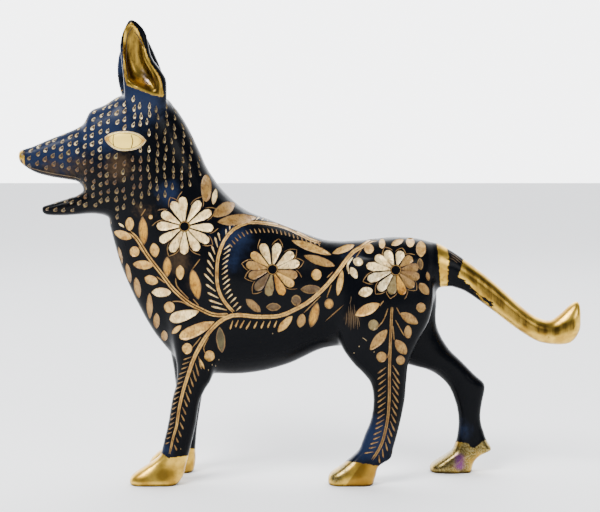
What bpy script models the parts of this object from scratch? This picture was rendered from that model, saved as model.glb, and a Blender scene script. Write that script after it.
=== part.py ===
"""Brass dog figurine: a standing shepherd-like dog, cast in one piece.

The dog faces -X, its left side faces -Y, and its paws stand on z = 0.
Every limb is a loft through ribs.
A rib is a line across the limb in side view, with the limb's half width there.
The lofts are fused and softened as a wax model is, the ears are hollowed, and the soles are cut flat.
"""

import bmesh
import bpy
import numpy as np
from mathutils import Vector

HEIGHT = 0.200  # soles to ear tips
LACQUER_BLACK = (0.012, 0.014, 0.024, 1.0)

# The dog is drawn in side view on a square grid, x back from its middle and z up.
SOLE_LINE, EAR_LINE = 3, 457  # the grid's lines at which the soles are cut and the ears end
SQUARE = HEIGHT / (EAR_LINE - SOLE_LINE)
# All that follows is in squares, so that the dog keeps its form at any height.
EAR_WALL = 5  # thickness of brass left behind the hollow of an ear
EYE_RELIEF = 1.15  # how far an eye stands out of the cheek

# Each rib: x and z of its first end, x and z of its other end, y of its middle, half width across.
TRUNK = [
    (137, 233, 136, 186, 0, 9),
    (124, 240.5, 123, 166, 0, 25),
    (95, 243.5, 88, 146, 0, 32),
    (60, 240, 52, 136, 0, 30),
    (28, 240, 22, 131.5, 0, 28.5),
    (0, 249, -10, 117, 0, 33),
    (-30, 260.5, -42, 108.5, 0, 38),
    (-56.5, 272, -74, 106.5, 0, 40),
    (-78, 291.5, -110, 112, 0, 38),
    (-92, 311, -141, 142, 0, 33),
    (-99.5, 327.5, -162.5, 178, 0, 29),
    (-106.5, 342.5, -178, 213, 0, 27.5),
    (-113.5, 356, -186, 240, 0, 27),
    (-123, 371, -190.5, 257, 0, 26),
]
HEAD = [
    (-122, 366, -140, 280, 0, 20),
    (-132, 381, -154, 268, 0, 26),
    (-154, 388, -170, 266, 0, 29),
    (-178, 385, -186, 266, 0, 28.5),
    (-195, 375, -198, 274, 0, 26),
    (-209, 369, -210, 284, 0, 22),
    (-216, 356, -219, 297, 0, 17.5),
    (-233, 347.5, -233, 300.5, 0, 14.5),
    (-250, 341, -248, 303, 0, 12.5),
    (-266, 334, -263, 307, 0, 10.5),
    (-276, 331, -273, 312.5, 0, 8.5),
    (-281.5, 328.5, -280, 318, 0, 5.5),
]
JAW = [
    (-259, 273.5, -256, 265.5, 0, 5),
    (-250, 276, -248, 264.5, 0, 7.5),
    (-236, 280.5, -234, 264.5, 0, 9.5),
    (-222, 285, -220, 265.5, 0, 12),
    (-212, 291.5, -208, 266.5, 0, 15.5),
    (-200, 300, -193, 265, 0, 20),
    (-182, 315, -177, 263, 0, 24),
]
TAIL = [
    (118, 238, 128, 196, 0, 18),
    (136, 237.5, 143, 193, 0, 14.5),
    (152, 229, 150, 193.5, 0, 12.5),
    (163.5, 221.5, 155, 192.5, 0, 12),
    (176.5, 212, 165.5, 188.5, 0, 11.5),
    (190.5, 201, 177.5, 180.5, 0, 11.5),
    (204.5, 189, 190.5, 171, 0, 11),
    (218.5, 176.5, 205.5, 159.5, 0, 11),
    (231, 166.5, 220.5, 148.5, 0, 10.5),
    (241, 161.5, 238, 138.5, 0, 10.5),
    (251, 160, 256, 135.5, 0, 11),
    (261, 167, 271, 137.5, 0, 11),
    (269, 174.5, 279.5, 149, 0, 10),
    (276.5, 179.5, 280.5, 162, 0, 7),
    (278.5, 180, 280, 174, 0, 3.5),
]
FRONT_LEFT = [
    (-137, 207, -74, 198, -14, 21),
    (-132, 173, -76, 161, -17, 20),
    (-126, 144, -81, 134, -19.5, 17),
    (-121, 118, -86, 107, -21.5, 14.5),
    (-121.5, 101, -93, 95, -22.5, 12.5),
    (-125.5, 85, -98.5, 82, -23.5, 11.5),
    (-129, 63, -102, 61, -24.5, 11),
    (-133, 46, -106, 43, -25, 10.5),
    (-136.5, 31, -110, 27, -25, 11),
]
FRONT_RIGHT = [
    (-141, 187, -79, 177, 14, 21),
    (-135, 152, -87, 141, 18, 18),
    (-131, 124, -92, 116, 20.5, 15),
    (-128, 106, -96, 99, 22, 12.5),
    (-126, 85, -99, 82, 23.5, 11.5),
    (-126, 67, -102, 65, 24.5, 11),
    (-127.5, 50, -104.5, 48, 25, 10.5),
    (-131, 34, -106, 31, 25, 11),
]
HIND_LEFT = [
    (51, 227, 125, 220, -13, 17),
    (39, 198, 132, 191, -16, 20.5),
    (35, 168, 128, 164, -18.5, 20),
    (40, 139, 117, 143, -20.5, 18),
    (52, 121, 107.5, 122, -22.5, 15.5),
    (62.5, 110.5, 105.5, 112, -23.5, 14),
    (69.5, 101, 104.5, 102, -24, 12.5),
    (72, 86, 103, 85, -25, 11.5),
    (70, 67, 99, 65, -25, 11),
    (64, 52, 95, 49, -25, 11),
    (58, 35.5, 91, 35, -25, 10.5),
]
HIND_RIGHT = [
    (57, 223, 134, 215, 13, 17),
    (51, 192, 138.5, 184, 16, 20.5),
    (60, 158, 138.5, 154, 18.5, 19),
    (79, 129, 149.5, 131, 20.5, 17),
    (105.5, 114, 165, 115, 22.5, 14.5),
    (131.5, 106, 177.5, 102, 24, 12),
    (149, 93, 188.5, 91, 25, 11.5),
    (158, 75, 186, 75, 25, 10.5),
    (161.5, 57, 184, 57, 25, 10),
    (160.5, 41, 188, 41, 25, 10),
    (158, 31, 193, 30, 25, 10),
]
# A paw is a stack of level ribs, toe to heel. Its last rib lies under the ground, where the sole is cut.
FRONT_LEFT_PAW = [
    (-136.5, 31, -110, 27, -25, 10.8),
    (-145.5, 24, -112, 20, -25, 11),
    (-157, 17, -113, 14, -25.5, 12),
    (-165, 11, -115.5, 8.5, -26, 13.2),
    (-166.5, 5.5, -118.5, 5, -26, 13.8),
    (-164, -3, -122, -3, -26, 13.2),
]
FRONT_RIGHT_PAW = [
    (-131, 34, -106, 31, 25, 10.8),
    (-136, 28, -106.5, 24, 25, 11),
    (-145, 22, -106, 18, 25.5, 12),
    (-152, 15, -106.5, 11, 26, 13.2),
    (-154, 8, -107.5, 6, 26, 13.8),
    (-152, -3, -110, -3, 26, 13.2),
]
HIND_LEFT_PAW = [
    (58, 35.5, 91, 35, -25, 10.5),
    (48, 26.5, 89, 28, -25, 11),
    (39, 19.5, 77, 21, -25.5, 12),
    (30, 13.5, 75, 13, -26, 13.2),
    (27.5, 8, 73, 8, -26, 13.8),
    (29, -3, 70.5, -3, -26, 13.2),
]
HIND_RIGHT_PAW = [
    (158, 31, 193, 30, 25, 10),
    (155.5, 25, 195.5, 25.5, 25, 10.8),
    (148.5, 19.5, 184, 20, 25.5, 12),
    (138.5, 13, 177.5, 13.5, 26, 13.2),
    (132.5, 7.5, 175.5, 8, 26, 13.8),
    (134, -3, 174, -3, 26, 13.2),
]
LEFT_EAR = [
    (-168, 366, -136, 364, -14, 11),
    (-172.5, 380, -131.5, 378, -17, 10),
    (-173.5, 389, -131, 388, -18, 9.5),
    (-174, 399, -131.5, 399, -18.5, 9),
    (-175, 409, -137, 409, -19, 8.5),
    (-176.5, 421, -145.5, 421, -19.5, 7.5),
    (-177.5, 433, -148.5, 433, -20, 6),
    (-175.5, 443, -150.5, 443, -20.5, 4.8),
    (-172.5, 451, -154.5, 451, -21, 3.6),
    (-169, 458, -161.5, 458, -21, 2.2),
]
RIGHT_EAR = [
    (-174, 366, -139, 364, 14, 11),
    (-179, 380, -136, 378, 17, 10),
    (-182.5, 392, -137, 390, 18, 9.5),
    (-185, 403, -138, 402, 18.5, 9),
    (-185.5, 414, -141, 413, 19, 8.5),
    (-184, 426, -146, 425, 19.5, 7.5),
    (-180.5, 437, -151, 436, 20, 6),
    (-176, 447, -156, 446, 20.5, 4.4),
    (-171, 455, -163, 455, 21, 2.4),
]
# The mouth of an ear's hollow, as shares of the ear's height and of its width from the front and the rear.
HOLLOW_FROM, HOLLOW_TO = 0.245, 0.91
HOLLOW_SLANT = 6  # how far the mouth's lower end rises at its front and falls at its rear
FRONT_RIM, REAR_RIM = 0.09, 0.22
HOLLOW_LIP = 1.0  # how deep its mouth's ends are
EYE_X, EYE_Z = -171, 338.6  # the middle of an eye
EYE_HALF_LENGTH, EYE_HALF_HEIGHT = 20.5, 10
EYE_ROOT = 2  # how deep an eye's lens is set in the cheek
LENS_SINK = 0.5  # how far the lens's corners dip under the cheek, as a share of its relief
LENS_END_RISE = 0.4  # its half height at the corners
LENS_RIBS, HOLLOW_RIBS = 9, 15

RING_POINTS = 40
RINGS_PER_RIB = 8
ROUND, SOFT, BOXY, HOOF = 2.0, 2.2, 2.5, 3.2  # how square a cross-section is
VOXEL = 2.04  # fineness of the wax
CREASE_ROUNDS = 40  # how far the valleys between limbs are filled
FILL_SHARE = 0.9  # how much of each hollow one round fills
SOFTEN_ROUNDS = 4
MOST_TRIANGLES = 9600
GROUND_SLAB = 50
FAR_OUT = 100  # outside the body on either side


def between(ribs, place):
    """The rib at a place on a smooth curve through the ribs. 1.5 is half way from the second to the third."""
    ribs = np.asarray(ribs, float)
    first = min(int(place), len(ribs) - 2)
    t = place - first
    before, start, end, after = (
        ribs[np.clip(first + step, 0, len(ribs) - 1)] for step in (-1, 0, 1, 2)
    )
    return 0.5 * (
        2 * start
        + (end - before) * t
        + (2 * before - 5 * start + 4 * end - after) * t**2
        + (3 * start - 3 * end + after - before) * t**3
    )


def ring(rib, square, keel):
    """Points around one rib. square is 2 for an ellipse, and keel above 0 narrows the rib's lower end."""
    x1, z1, x2, z2, y, half_width = rib
    middle = Vector(((x1 + x2) / 2, y, (z1 + z2) / 2 - SOLE_LINE))
    along = Vector(((x1 - x2) / 2, 0, (z1 - z2) / 2))
    points = []
    for step in range(RING_POINTS):
        angle = 2 * np.pi * step / RING_POINTS
        c, s = np.cos(angle), np.sin(angle)
        up = np.sign(c) * abs(c) ** (2 / square)
        out = np.sign(s) * abs(s) ** (2 / square) * (1 + keel * up)
        points.append((middle + along * up + Vector((0, out * half_width, 0))) * SQUARE)
    return points


def loft(name, ribs, square=ROUND, keel=0.0):
    """A closed tube through the ribs, with flat ends."""
    places = np.linspace(0, len(ribs) - 1, (len(ribs) - 1) * RINGS_PER_RIB + 1)
    bm = bmesh.new()
    rows = [[bm.verts.new(p) for p in ring(between(ribs, at), square, keel)] for at in places]
    for row, following in zip(rows, rows[1:]):
        for i in range(RING_POINTS):
            j = (i + 1) % RING_POINTS
            bm.faces.new((row[i], row[j], following[j], following[i]))
    bm.faces.new(rows[0])
    bm.faces.new(rows[-1])
    bmesh.ops.recalc_face_normals(bm, faces=bm.faces)
    mesh = bpy.data.meshes.new(name)
    bm.to_mesh(mesh)
    bm.free()
    return bpy.data.objects.new(name, mesh)


def eye(side):
    """An almond lens that follows the cheek, whose ribs stand upright."""
    ribs = []
    for t in np.linspace(-1, 1, LENS_RIBS):
        x = EYE_X + t * EYE_HALF_LENGTH
        start = Vector((x, side * FAR_OUT, EYE_Z - SOLE_LINE)) * SQUARE
        cheek = dog.ray_cast(start, (0, -side, 0))[1].y / SQUARE
        rise = EYE_HALF_HEIGHT * (1 - t * t) + LENS_END_RISE
        dome = (1 + LENS_SINK) * (1 - t * t) ** 0.5 - LENS_SINK
        bulge = EYE_RELIEF * dome
        ribs.append((x, EYE_Z + rise, x, EYE_Z - rise, cheek - side * EYE_ROOT, EYE_ROOT + bulge))
    return ribs


def ear_hollow(ear, side):
    """The dish scooped from the outer face of an ear, which leaves EAR_WALL at its back."""
    ribs = []
    last = len(ear) - 1
    for t in np.linspace(-1, 1, HOLLOW_RIBS):
        at = last * (HOLLOW_FROM + (HOLLOW_TO - HOLLOW_FROM) * (t + 1) / 2)
        x1, z1, x2, z2, y, half_width = between(ear, at)
        front = x1 + (x2 - x1) * FRONT_RIM
        rear = x2 - (x2 - x1) * REAR_RIM
        deepest = 2 * half_width - EAR_WALL
        depth = max(deepest * (1 - t**4), 0) + HOLLOW_LIP
        slant = HOLLOW_SLANT * (1 - t) / 2
        mouth = y + side * (half_width + HOLLOW_LIP / 2)
        ribs.append((front, z1 + slant, rear, z2 - slant, mouth, depth))
    return ribs


def fused(name, pieces):
    """One object that holds all the pieces' meshes, still overlapping."""
    bm = bmesh.new()
    for piece in pieces:
        bm.from_mesh(piece.data)
        bpy.data.objects.remove(piece)
    mesh = bpy.data.meshes.new(name)
    bm.to_mesh(mesh)
    bm.free()
    whole = bpy.data.objects.new(name, mesh)
    collection.objects.link(whole)
    return whole


def bake_modifiers(obj):
    """Makes what the modifiers give the object's own mesh."""
    graph = bpy.context.evaluated_depsgraph_get()
    made = bpy.data.meshes.new_from_object(obj.evaluated_get(graph))
    obj.modifiers.clear()
    obj.data = made


def fill_creases(mesh, rounds):
    """Raises each point that lies in a valley towards its neighbours' mean, as wax smoothed into a joint."""
    count = len(mesh.vertices)
    points = np.empty(count * 3)
    mesh.vertices.foreach_get("co", points)
    points = points.reshape(-1, 3)
    edges = np.empty(len(mesh.edges) * 2, int)
    mesh.edges.foreach_get("vertices", edges)
    a, b = edges.reshape(-1, 2).T
    neighbours = np.bincount(a, minlength=count) + np.bincount(b, minlength=count)
    normals = np.empty(count * 3)
    for _ in range(rounds):
        mesh.vertices.foreach_get("normal", normals)
        normal = normals.reshape(-1, 3)
        total = np.stack(
            [
                np.bincount(a, points[b, k], count) + np.bincount(b, points[a, k], count)
                for k in range(3)
            ],
            axis=1,
        )
        step = total / neighbours[:, None] - points
        rise = np.maximum((step * normal).sum(axis=1), 0)
        points = points + FILL_SHARE * rise[:, None] * normal
        mesh.vertices.foreach_set("co", points.ravel())
        mesh.update()


def cut(obj, cutter, operation):
    """A Boolean on the object, with a cutter that is kept out of the render."""
    cutters.objects.link(cutter)
    cutter.hide_render = True
    cutter.display_type = "WIRE"
    boolean = obj.modifiers.new(cutter.name, "BOOLEAN")
    boolean.operation = operation
    boolean.object = cutter
    boolean.solver = "EXACT"


def lacquered_brass():
    material = bpy.data.materials.new("lacquered_brass")
    material.use_nodes = True
    shader = material.node_tree.nodes["Principled BSDF"]
    shader.inputs["Base Color"].default_value = LACQUER_BLACK
    shader.inputs["Metallic"].default_value = 0.0
    shader.inputs["Roughness"].default_value = 0.25
    return material


for old in list(bpy.data.objects):
    bpy.data.objects.remove(old)
collection = bpy.data.collections.new("brass_dog_figurine")
cutters = bpy.data.collections.new("cutters")
bpy.context.scene.collection.children.link(collection)
bpy.context.scene.collection.children.link(cutters)

LIMBS = [
    ("trunk", TRUNK, SOFT, 0.12),
    ("head", HEAD, BOXY, -0.06),
    ("jaw", JAW, BOXY, 0.0),
    ("tail", TAIL, ROUND, 0.0),
    ("front_left", FRONT_LEFT, SOFT, 0.0),
    ("front_right", FRONT_RIGHT, SOFT, 0.0),
    ("hind_left", HIND_LEFT, SOFT, 0.0),
    ("hind_right", HIND_RIGHT, SOFT, 0.0),
    ("front_left_paw", FRONT_LEFT_PAW, HOOF, 0.0),
    ("front_right_paw", FRONT_RIGHT_PAW, HOOF, 0.0),
    ("hind_left_paw", HIND_LEFT_PAW, HOOF, 0.0),
    ("hind_right_paw", HIND_RIGHT_PAW, HOOF, 0.0),
    ("left_ear", LEFT_EAR, BOXY, 0.0),
    ("right_ear", RIGHT_EAR, BOXY, 0.0),
]
dog = fused("brass_dog", [loft(*limb) for limb in LIMBS])
wax = dog.modifiers.new("wax", "REMESH")
wax.mode = "VOXEL"
wax.voxel_size = VOXEL * SQUARE
bake_modifiers(dog)
fill_creases(dog.data, CREASE_ROUNDS)
soften = dog.modifiers.new("soften", "SMOOTH")
soften.iterations = SOFTEN_ROUNDS
cut(dog, loft("left_hollow", ear_hollow(LEFT_EAR, -1), SOFT), "DIFFERENCE")
cut(dog, loft("right_hollow", ear_hollow(RIGHT_EAR, 1), SOFT), "DIFFERENCE")
cut(dog, loft("left_eye", eye(-1), ROUND), "UNION")
cut(dog, loft("right_eye", eye(1), ROUND), "UNION")
bake_modifiers(dog)
dog.data.calc_loop_triangles()
thin = dog.modifiers.new("thin", "DECIMATE")
thin.ratio = MOST_TRIANGLES / len(dog.data.loop_triangles)
slab_height = GROUND_SLAB * SQUARE
bpy.ops.mesh.primitive_cube_add(size=1, location=(0, 0, -slab_height / 2), scale=(1, 1, slab_height))
slab = bpy.context.object
slab.name = "ground_cut"
for holder in list(slab.users_collection):
    holder.objects.unlink(slab)
cut(dog, slab, "DIFFERENCE")
bake_modifiers(dog)

corners = np.array([corner[:] for corner in dog.bound_box])
middle = (corners.min(axis=0) + corners.max(axis=0)) / 2
dog.location = (-middle[0], -middle[1], 0)
dog.data.materials.clear()
dog.data.materials.append(lacquered_brass())
dog.data.shade_smooth()
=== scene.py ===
import math

import bmesh
import bpy
import numpy as np
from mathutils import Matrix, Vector
from mathutils.bvhtree import BVHTree


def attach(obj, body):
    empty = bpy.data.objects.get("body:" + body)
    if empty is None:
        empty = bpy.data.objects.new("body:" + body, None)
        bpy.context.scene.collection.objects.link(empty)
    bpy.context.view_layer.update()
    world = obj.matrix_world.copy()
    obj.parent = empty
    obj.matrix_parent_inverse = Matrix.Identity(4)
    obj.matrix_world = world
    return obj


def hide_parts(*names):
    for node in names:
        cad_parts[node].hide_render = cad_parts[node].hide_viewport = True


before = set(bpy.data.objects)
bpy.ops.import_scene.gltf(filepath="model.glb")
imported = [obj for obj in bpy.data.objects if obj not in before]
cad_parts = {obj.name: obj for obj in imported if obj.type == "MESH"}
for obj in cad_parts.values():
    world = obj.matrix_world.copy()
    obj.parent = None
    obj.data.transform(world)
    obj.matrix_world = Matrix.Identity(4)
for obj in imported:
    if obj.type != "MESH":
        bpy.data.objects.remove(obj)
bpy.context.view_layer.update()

# ---------------------------------------------------------------------------------------------
# The view. The dog stands side on, seen from its left by a level camera.
# The ornament is drawn on paper squares, one to a pixel of the view at the dog's middle plane.
SQUARE = 0.2 / 454
VIEW_WIDTH, VIEW_HEIGHT = 600, 512
EYE_COLUMN, EYE_ROW = 300, 155  # where the line of sight meets the paper
EYE_BACK, EYE_UP, EYE_ACROSS = 1300 * SQUARE, 322 * SQUARE, 0.5 * SQUARE
SENSOR = 36.0

scene = bpy.context.scene
lens = bpy.data.cameras.new("camera")
camera = bpy.data.objects.new("camera", lens)
scene.collection.objects.link(camera)
camera.location = (EYE_ACROSS, -EYE_BACK, EYE_UP)
camera.rotation_euler = (math.radians(90), 0, 0)
lens.sensor_width = SENSOR
lens.lens = SENSOR * EYE_BACK / SQUARE / VIEW_WIDTH
lens.shift_y = (EYE_ROW - VIEW_HEIGHT / 2) / VIEW_WIDTH
scene.camera = camera

# ---------------------------------------------------------------------------------------------
# The studio: a plain white floor and a bright white backdrop, with a large soft light from the upper left.
# The room in front of the dog is dim, so that the lacquer stays black and only its edges shine.
FLOOR_HALF = 6.0
FLOOR_WHITE = (0.9, 0.9, 0.9, 1.0)
BACKDROP, ROOM = (5.2, 5.25, 5.35, 1.0), (0.23, 0.265, 0.335, 1.0)
ROOM_EDGE, BACKDROP_EDGE = -0.1, 0.65  # how far round towards the back the room ends and the backdrop is full


def linear(code):
    """A colour written as RRGGBB, as the shader wants it."""
    parts = [int(code[i : i + 2], 16) / 255 for i in (0, 2, 4)]
    return [p / 12.92 if p <= 0.04045 else ((p + 0.055) / 1.055) ** 2.4 for p in parts] + [1.0]


def soft_light(name, place, aim, size, watts, colour=(1.0, 1.0, 1.0)):
    light = bpy.data.lights.new(name, "AREA")
    light.shape = "RECTANGLE"
    light.size, light.size_y = size
    light.energy = watts
    light.color = colour
    lamp = bpy.data.objects.new(name, light)
    scene.collection.objects.link(lamp)
    place, aim = np.array(place), np.array(aim)
    lamp.location = place
    lamp.rotation_euler = Vector(aim - place).to_track_quat("-Z", "Y").to_euler()


def step(tree, kind, wires=(), **settings):
    """One node of a tree, with its settings made and its inputs wired or set. Gives its outputs."""
    node = tree.nodes.new(kind)
    for key, value in settings.items():
        setattr(node, key, value)
    for key, source in dict(wires).items():
        if isinstance(source, bpy.types.NodeSocket):
            tree.links.new(source, node.inputs[key])
        else:
            node.inputs[key].default_value = source
    return node.outputs


def ramp(tree, value, low, high, out_low=0.0, out_high=1.0):
    wires = {"Value": value, "From Min": low, "From Max": high, "To Min": out_low, "To Max": out_high}
    return step(tree, "ShaderNodeMapRange", wires, interpolation_type="SMOOTHSTEP")[0]


def blend(tree, share, first, second, way="MIX"):
    wires = {"Factor": share, 6: first, 7: second}
    return step(tree, "ShaderNodeMix", wires, data_type="RGBA", blend_type=way)[2]


world = bpy.data.worlds.new("surround")
world.use_nodes = True
walls = world.node_tree
round_about = step(walls, "ShaderNodeTexCoord")["Generated"]
backwards = step(walls, "ShaderNodeSeparateXYZ", {0: round_about})["Y"]
surround = blend(walls, ramp(walls, backwards, ROOM_EDGE, BACKDROP_EDGE), ROOM, BACKDROP)
walls.links.new(surround, walls.nodes["Background"].inputs["Color"])
scene.world = world
soft_light("key", (-0.6, -0.7, 1.1), (0, 0, 0.1), (0.6, 0.5), 30.0)
soft_light("fill", (0.7, -1.0, 0.5), (0, 0, 0.1), (0.4, 0.4), 4.0)
soft_light("back", (0.2, 0.9, 0.8), (0, 0, 0.1), (0.8, 0.4), 4.0, (0.9, 0.95, 1.0))

floor_mesh = bpy.data.meshes.new("floor")
floor_corners = [(x * FLOOR_HALF, y * FLOOR_HALF, 0) for x, y in ((-1, -1), (1, -1), (1, 1), (-1, 1))]
floor_mesh.from_pydata(floor_corners, [], [(0, 1, 2, 3)])
floor = bpy.data.objects.new("floor", floor_mesh)
scene.collection.objects.link(floor)
paint = bpy.data.materials.new("floor_white")
paint.use_nodes = True
paint.node_tree.nodes["Principled BSDF"].inputs["Base Color"].default_value = FLOOR_WHITE
paint.node_tree.nodes["Principled BSDF"].inputs["Roughness"].default_value = 0.9
floor_mesh.materials.append(paint)

# ---------------------------------------------------------------------------------------------
# The casting: one dog of cast brass, filed and rubbed smooth before it is lacquered.
# It is the CAD solid with its facets worked out of it, so its size and form stay as they are.
MERGE = 1e-6
WORKED_VOXEL = 0.0007
RUBBING = 36  # rounds, each of which shrinks the form by the first share, then swells it by the other
RUB_IN, RUB_OUT = 0.5, -0.52
CASTING_FACES = 50000


def apply_modifiers(piece):
    """Makes what the modifiers give the piece's own mesh."""
    graph = bpy.context.evaluated_depsgraph_get()
    made = bpy.data.meshes.new_from_object(piece.evaluated_get(graph))
    piece.modifiers.clear()
    piece.data = made


def read(collection, key, width):
    values = np.empty(len(collection) * width)
    collection.foreach_get(key, values)
    return values.reshape(-1, width) if width > 1 else values


def rub_smooth(mesh, rounds):
    """Takes the facets out and keeps the volume."""
    points = read(mesh.vertices, "co", 3)
    a, b = read(mesh.edges, "vertices", 2).astype(int).T
    count = len(points)
    neighbours = (np.bincount(a, minlength=count) + np.bincount(b, minlength=count))[:, None]
    for turn in range(2 * rounds):
        total = np.stack(
            [np.bincount(a, points[b, k], count) + np.bincount(b, points[a, k], count) for k in range(3)], 1
        )
        points = points + (RUB_IN, RUB_OUT)[turn % 2] * (total / neighbours - points)
    mesh.vertices.foreach_set("co", points.ravel())
    mesh.update()


bm = bmesh.new()
bm.from_mesh(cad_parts["brass_dog"].data)
bmesh.ops.remove_doubles(bm, verts=bm.verts, dist=MERGE)
dog_mesh = bpy.data.meshes.new("dog_figurine")
bm.to_mesh(dog_mesh)
bm.free()
dog = bpy.data.objects.new("dog_figurine", dog_mesh)
scene.collection.objects.link(dog)
worked = dog.modifiers.new("worked", "REMESH")
worked.mode = "VOXEL"
worked.voxel_size = WORKED_VOXEL
apply_modifiers(dog)
rub_smooth(dog.data, RUBBING)
polished = dog.data.copy()
polished.calc_loop_triangles()
polished_points = read(polished.vertices, "co", 3)
polished_normals = read(polished.vertices, "normal", 3)
polished_corners = read(polished.loop_triangles, "vertices", 3).astype(int)
polished_tree = BVHTree.FromPolygons(polished_points.tolist(), polished_corners.tolist())
lighten = dog.modifiers.new("lighten", "DECIMATE")
lighten.ratio = CASTING_FACES / len(polished_corners)
apply_modifiers(dog)


def polish_normals(points):
    """The smooth surface's normal nearest to each point, and how far off it is."""
    normals, off = np.empty((len(points), 3)), np.empty(len(points))
    for i, point in enumerate(points):
        place, _, face, off[i] = polished_tree.find_nearest(point)
        corners = polished_corners[face]
        p, q, r = polished_points[corners]
        across = np.cross(q - p, r - p)
        area = across @ across
        at = np.array(place)
        w_q = np.cross(at - p, r - p) @ across / area
        w_r = np.cross(q - p, at - p) @ across / area
        normals[i] = np.array((1 - w_q - w_r, w_q, w_r)) @ polished_normals[corners]
    return normals / np.linalg.norm(normals, axis=1)[:, None], off


smooth_normal = dog.data.attributes.new("smooth_normal", "FLOAT_VECTOR", "POINT")
smooth_normal.data.foreach_set("vector", polish_normals(read(dog.data.vertices, "co", 3))[0].ravel())

# ---------------------------------------------------------------------------------------------
# The chiselling: each mark is a shallow gouge cut through the lacquer to bright brass.
# A mark is drawn on the paper as a path with a half width, and a tree wraps it on the casting.
LEFT, RIGHT = -1, 1
SHALLOWEST, DEEPENING = 0.15, 0.072  # mm, and mm for each square of half width
MARK_LIP = 0.06  # mm that a mark's edge stands over the lacquer before it is cut
MARK_CLEAR = 0.5  # mm that its top stands clear
RIM_DEPTH, RIM_WIDTH = 0.13, 1.1  # mm, squares
RIM_AT_ENDS = 2.4  # how many rim widths the deeper floor stays off a leaf's ends in all
# below this row and past this column the marks are the near hind leg's own, so they stay on the left
LEGS_PART, HAUNCH = 330, 340
NARROWEST, SHALLOW_END = 0.12, 0.15  # a mark's half width at its ends in squares, and its share of depth there
PROFILE_POINTS = 8
FLOOR_FULLNESS = 0.8
FINE_SHARE = 0.33  # how much of a stem it takes to come to its full size
# the tones of the cut brass, by the numbers that stand for them
CREAM, GOLD, TAN, AMBER, UMBER, OLIVE, IVORY, BROWN, PALE, DIM, RUST, PIT = range(1, 13)
TONES = [
    "0A0B10", "FFDF9C", "CFA250", "9E783A", "BE8826", "5A4424", "4A4422", "FBE3A8", "8A6834", "DCC898",
    "7E6C40", "664A26", "2E2620",
]

UNEVEN = 0.06  # the share by which the chisel wanders
HAND_SEED = 5
hand = np.random.default_rng(HAND_SEED)
marks = []


def mark(
    path, half_width, tone=GOLD, fullness=1.0, swell=0.5, depth=None, steps=9, sides=(LEFT, RIGHT), form=None
):
    """Notes one gouge. fullness is 1 for round ends, and more for pointed. swell is where it is widest.
    form, if given, says its width at shares of its length instead."""
    depth = depth or SHALLOWEST + DEEPENING * half_width
    path = np.asarray(path, float)
    ends = np.vstack([2 * path[0] - path[1], path, 2 * path[-1] - path[-2]])
    spread = (1 - np.cos(np.pi * np.linspace(0, 1, steps + 1))) / 2
    lengths = np.concatenate([[0], np.cumsum(np.linalg.norm(np.diff(path, axis=0), axis=1))])
    places = np.interp(spread * lengths[-1], lengths, np.arange(len(path)))
    first = np.minimum(places.astype(int), len(path) - 2)
    t = (places - first)[:, None]
    p0, p1, p2, p3 = ends[first], ends[first + 1], ends[first + 2], ends[first + 3]
    points = 0.5 * (
        2 * p1 + (p2 - p0) * t + (2 * p0 - 5 * p1 + 4 * p2 - p3) * t**2 + (3 * p1 - 3 * p2 + p3 - p0) * t**3
    )
    if form:
        shares = np.interp(spread, *np.array(form, float).T)
    else:
        turn = np.linspace(0, 1, steps + 1) ** (math.log(0.5) / math.log(swell))
        shares = np.maximum(np.sin(np.pi * turn), 0.02) ** fullness
    widths = half_width * shares * hand.uniform(1 - UNEVEN, 1 + UNEVEN, len(shares))
    widths[[0, -1]] = np.maximum(widths[[0, -1]], NARROWEST)
    deep = depth * np.minimum(1, widths / half_width + SHALLOW_END)
    marks.append({"points": points, "widths": widths, "deep": deep, "tone": tone, "sides": sides})


def parallel(path, distance):
    """The path moved sideways, as the second line of a double stem."""
    path = np.asarray(path, float)
    along = np.gradient(path, axis=0)
    along /= np.linalg.norm(along, axis=1)[:, None]
    return path + distance * np.stack([-along[:, 1], along[:, 0]], 1)


def double(path, gap, half_width, tone=TAN, fine=1.0, **more):
    """A stem: two gouges side by side with a ridge between them. fine is its size at its start."""
    share = np.interp(np.linspace(0, 1, len(path)), (0, FINE_SHARE), (fine, 1))
    form = [(0, 0.5 * fine), (0.02, fine), (FINE_SHARE, 1), (0.97, 1), (1, 0.3)]
    for way in (-1, 1):
        mark(parallel(path, way * gap / 2 * share[:, None]), half_width, tone, form=form, **more)


def bud(x, y, radius, tone=GOLD, tall=1.0, **more):
    rimmed([(x, y - radius * tall), (x, y), (x, y + radius * tall)], radius, tone, **more)


def rimmed(path, half_width, tone, **more):
    """A leaf or bud. The stained ones have a bright shallow rim round a deeper floor."""
    path = np.asarray(path, float)
    if path[:, 1].max() > LEGS_PART and path[:, 0].min() > HAUNCH:
        more = {"sides": (LEFT,), **more}
    if tone not in (UMBER, AMBER, OLIVE, BROWN):
        mark(path, half_width, tone, **more)
        return
    mark(path, half_width, GOLD, depth=RIM_DEPTH, **more)
    middle = path.mean(axis=0)
    shorter = 1 - RIM_WIDTH / np.linalg.norm(path[-1] - path[0]) * RIM_AT_ENDS
    mark(middle + (path - middle) * shorter, half_width - RIM_WIDTH, tone, **more)


# ---------------------------------------------------------------------------------------------
# The three daisies: twelve dished petals each, with fine loops round their tips and a ringed heart.
# They are the brightest cuts; the shoulder's is cream, the flank's and the rump's partly tarnished.
PETAL_START, PETAL_HALF = 5.6, 4.9
PETAL_FORM = [
    (0, 0.25), (0.12, 0.38), (0.3, 0.6), (0.5, 0.84), (0.68, 1.0), (0.84, 0.95), (0.94, 0.68), (1, 0.1),
]
LOOP_HALF = 0.55
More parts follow.
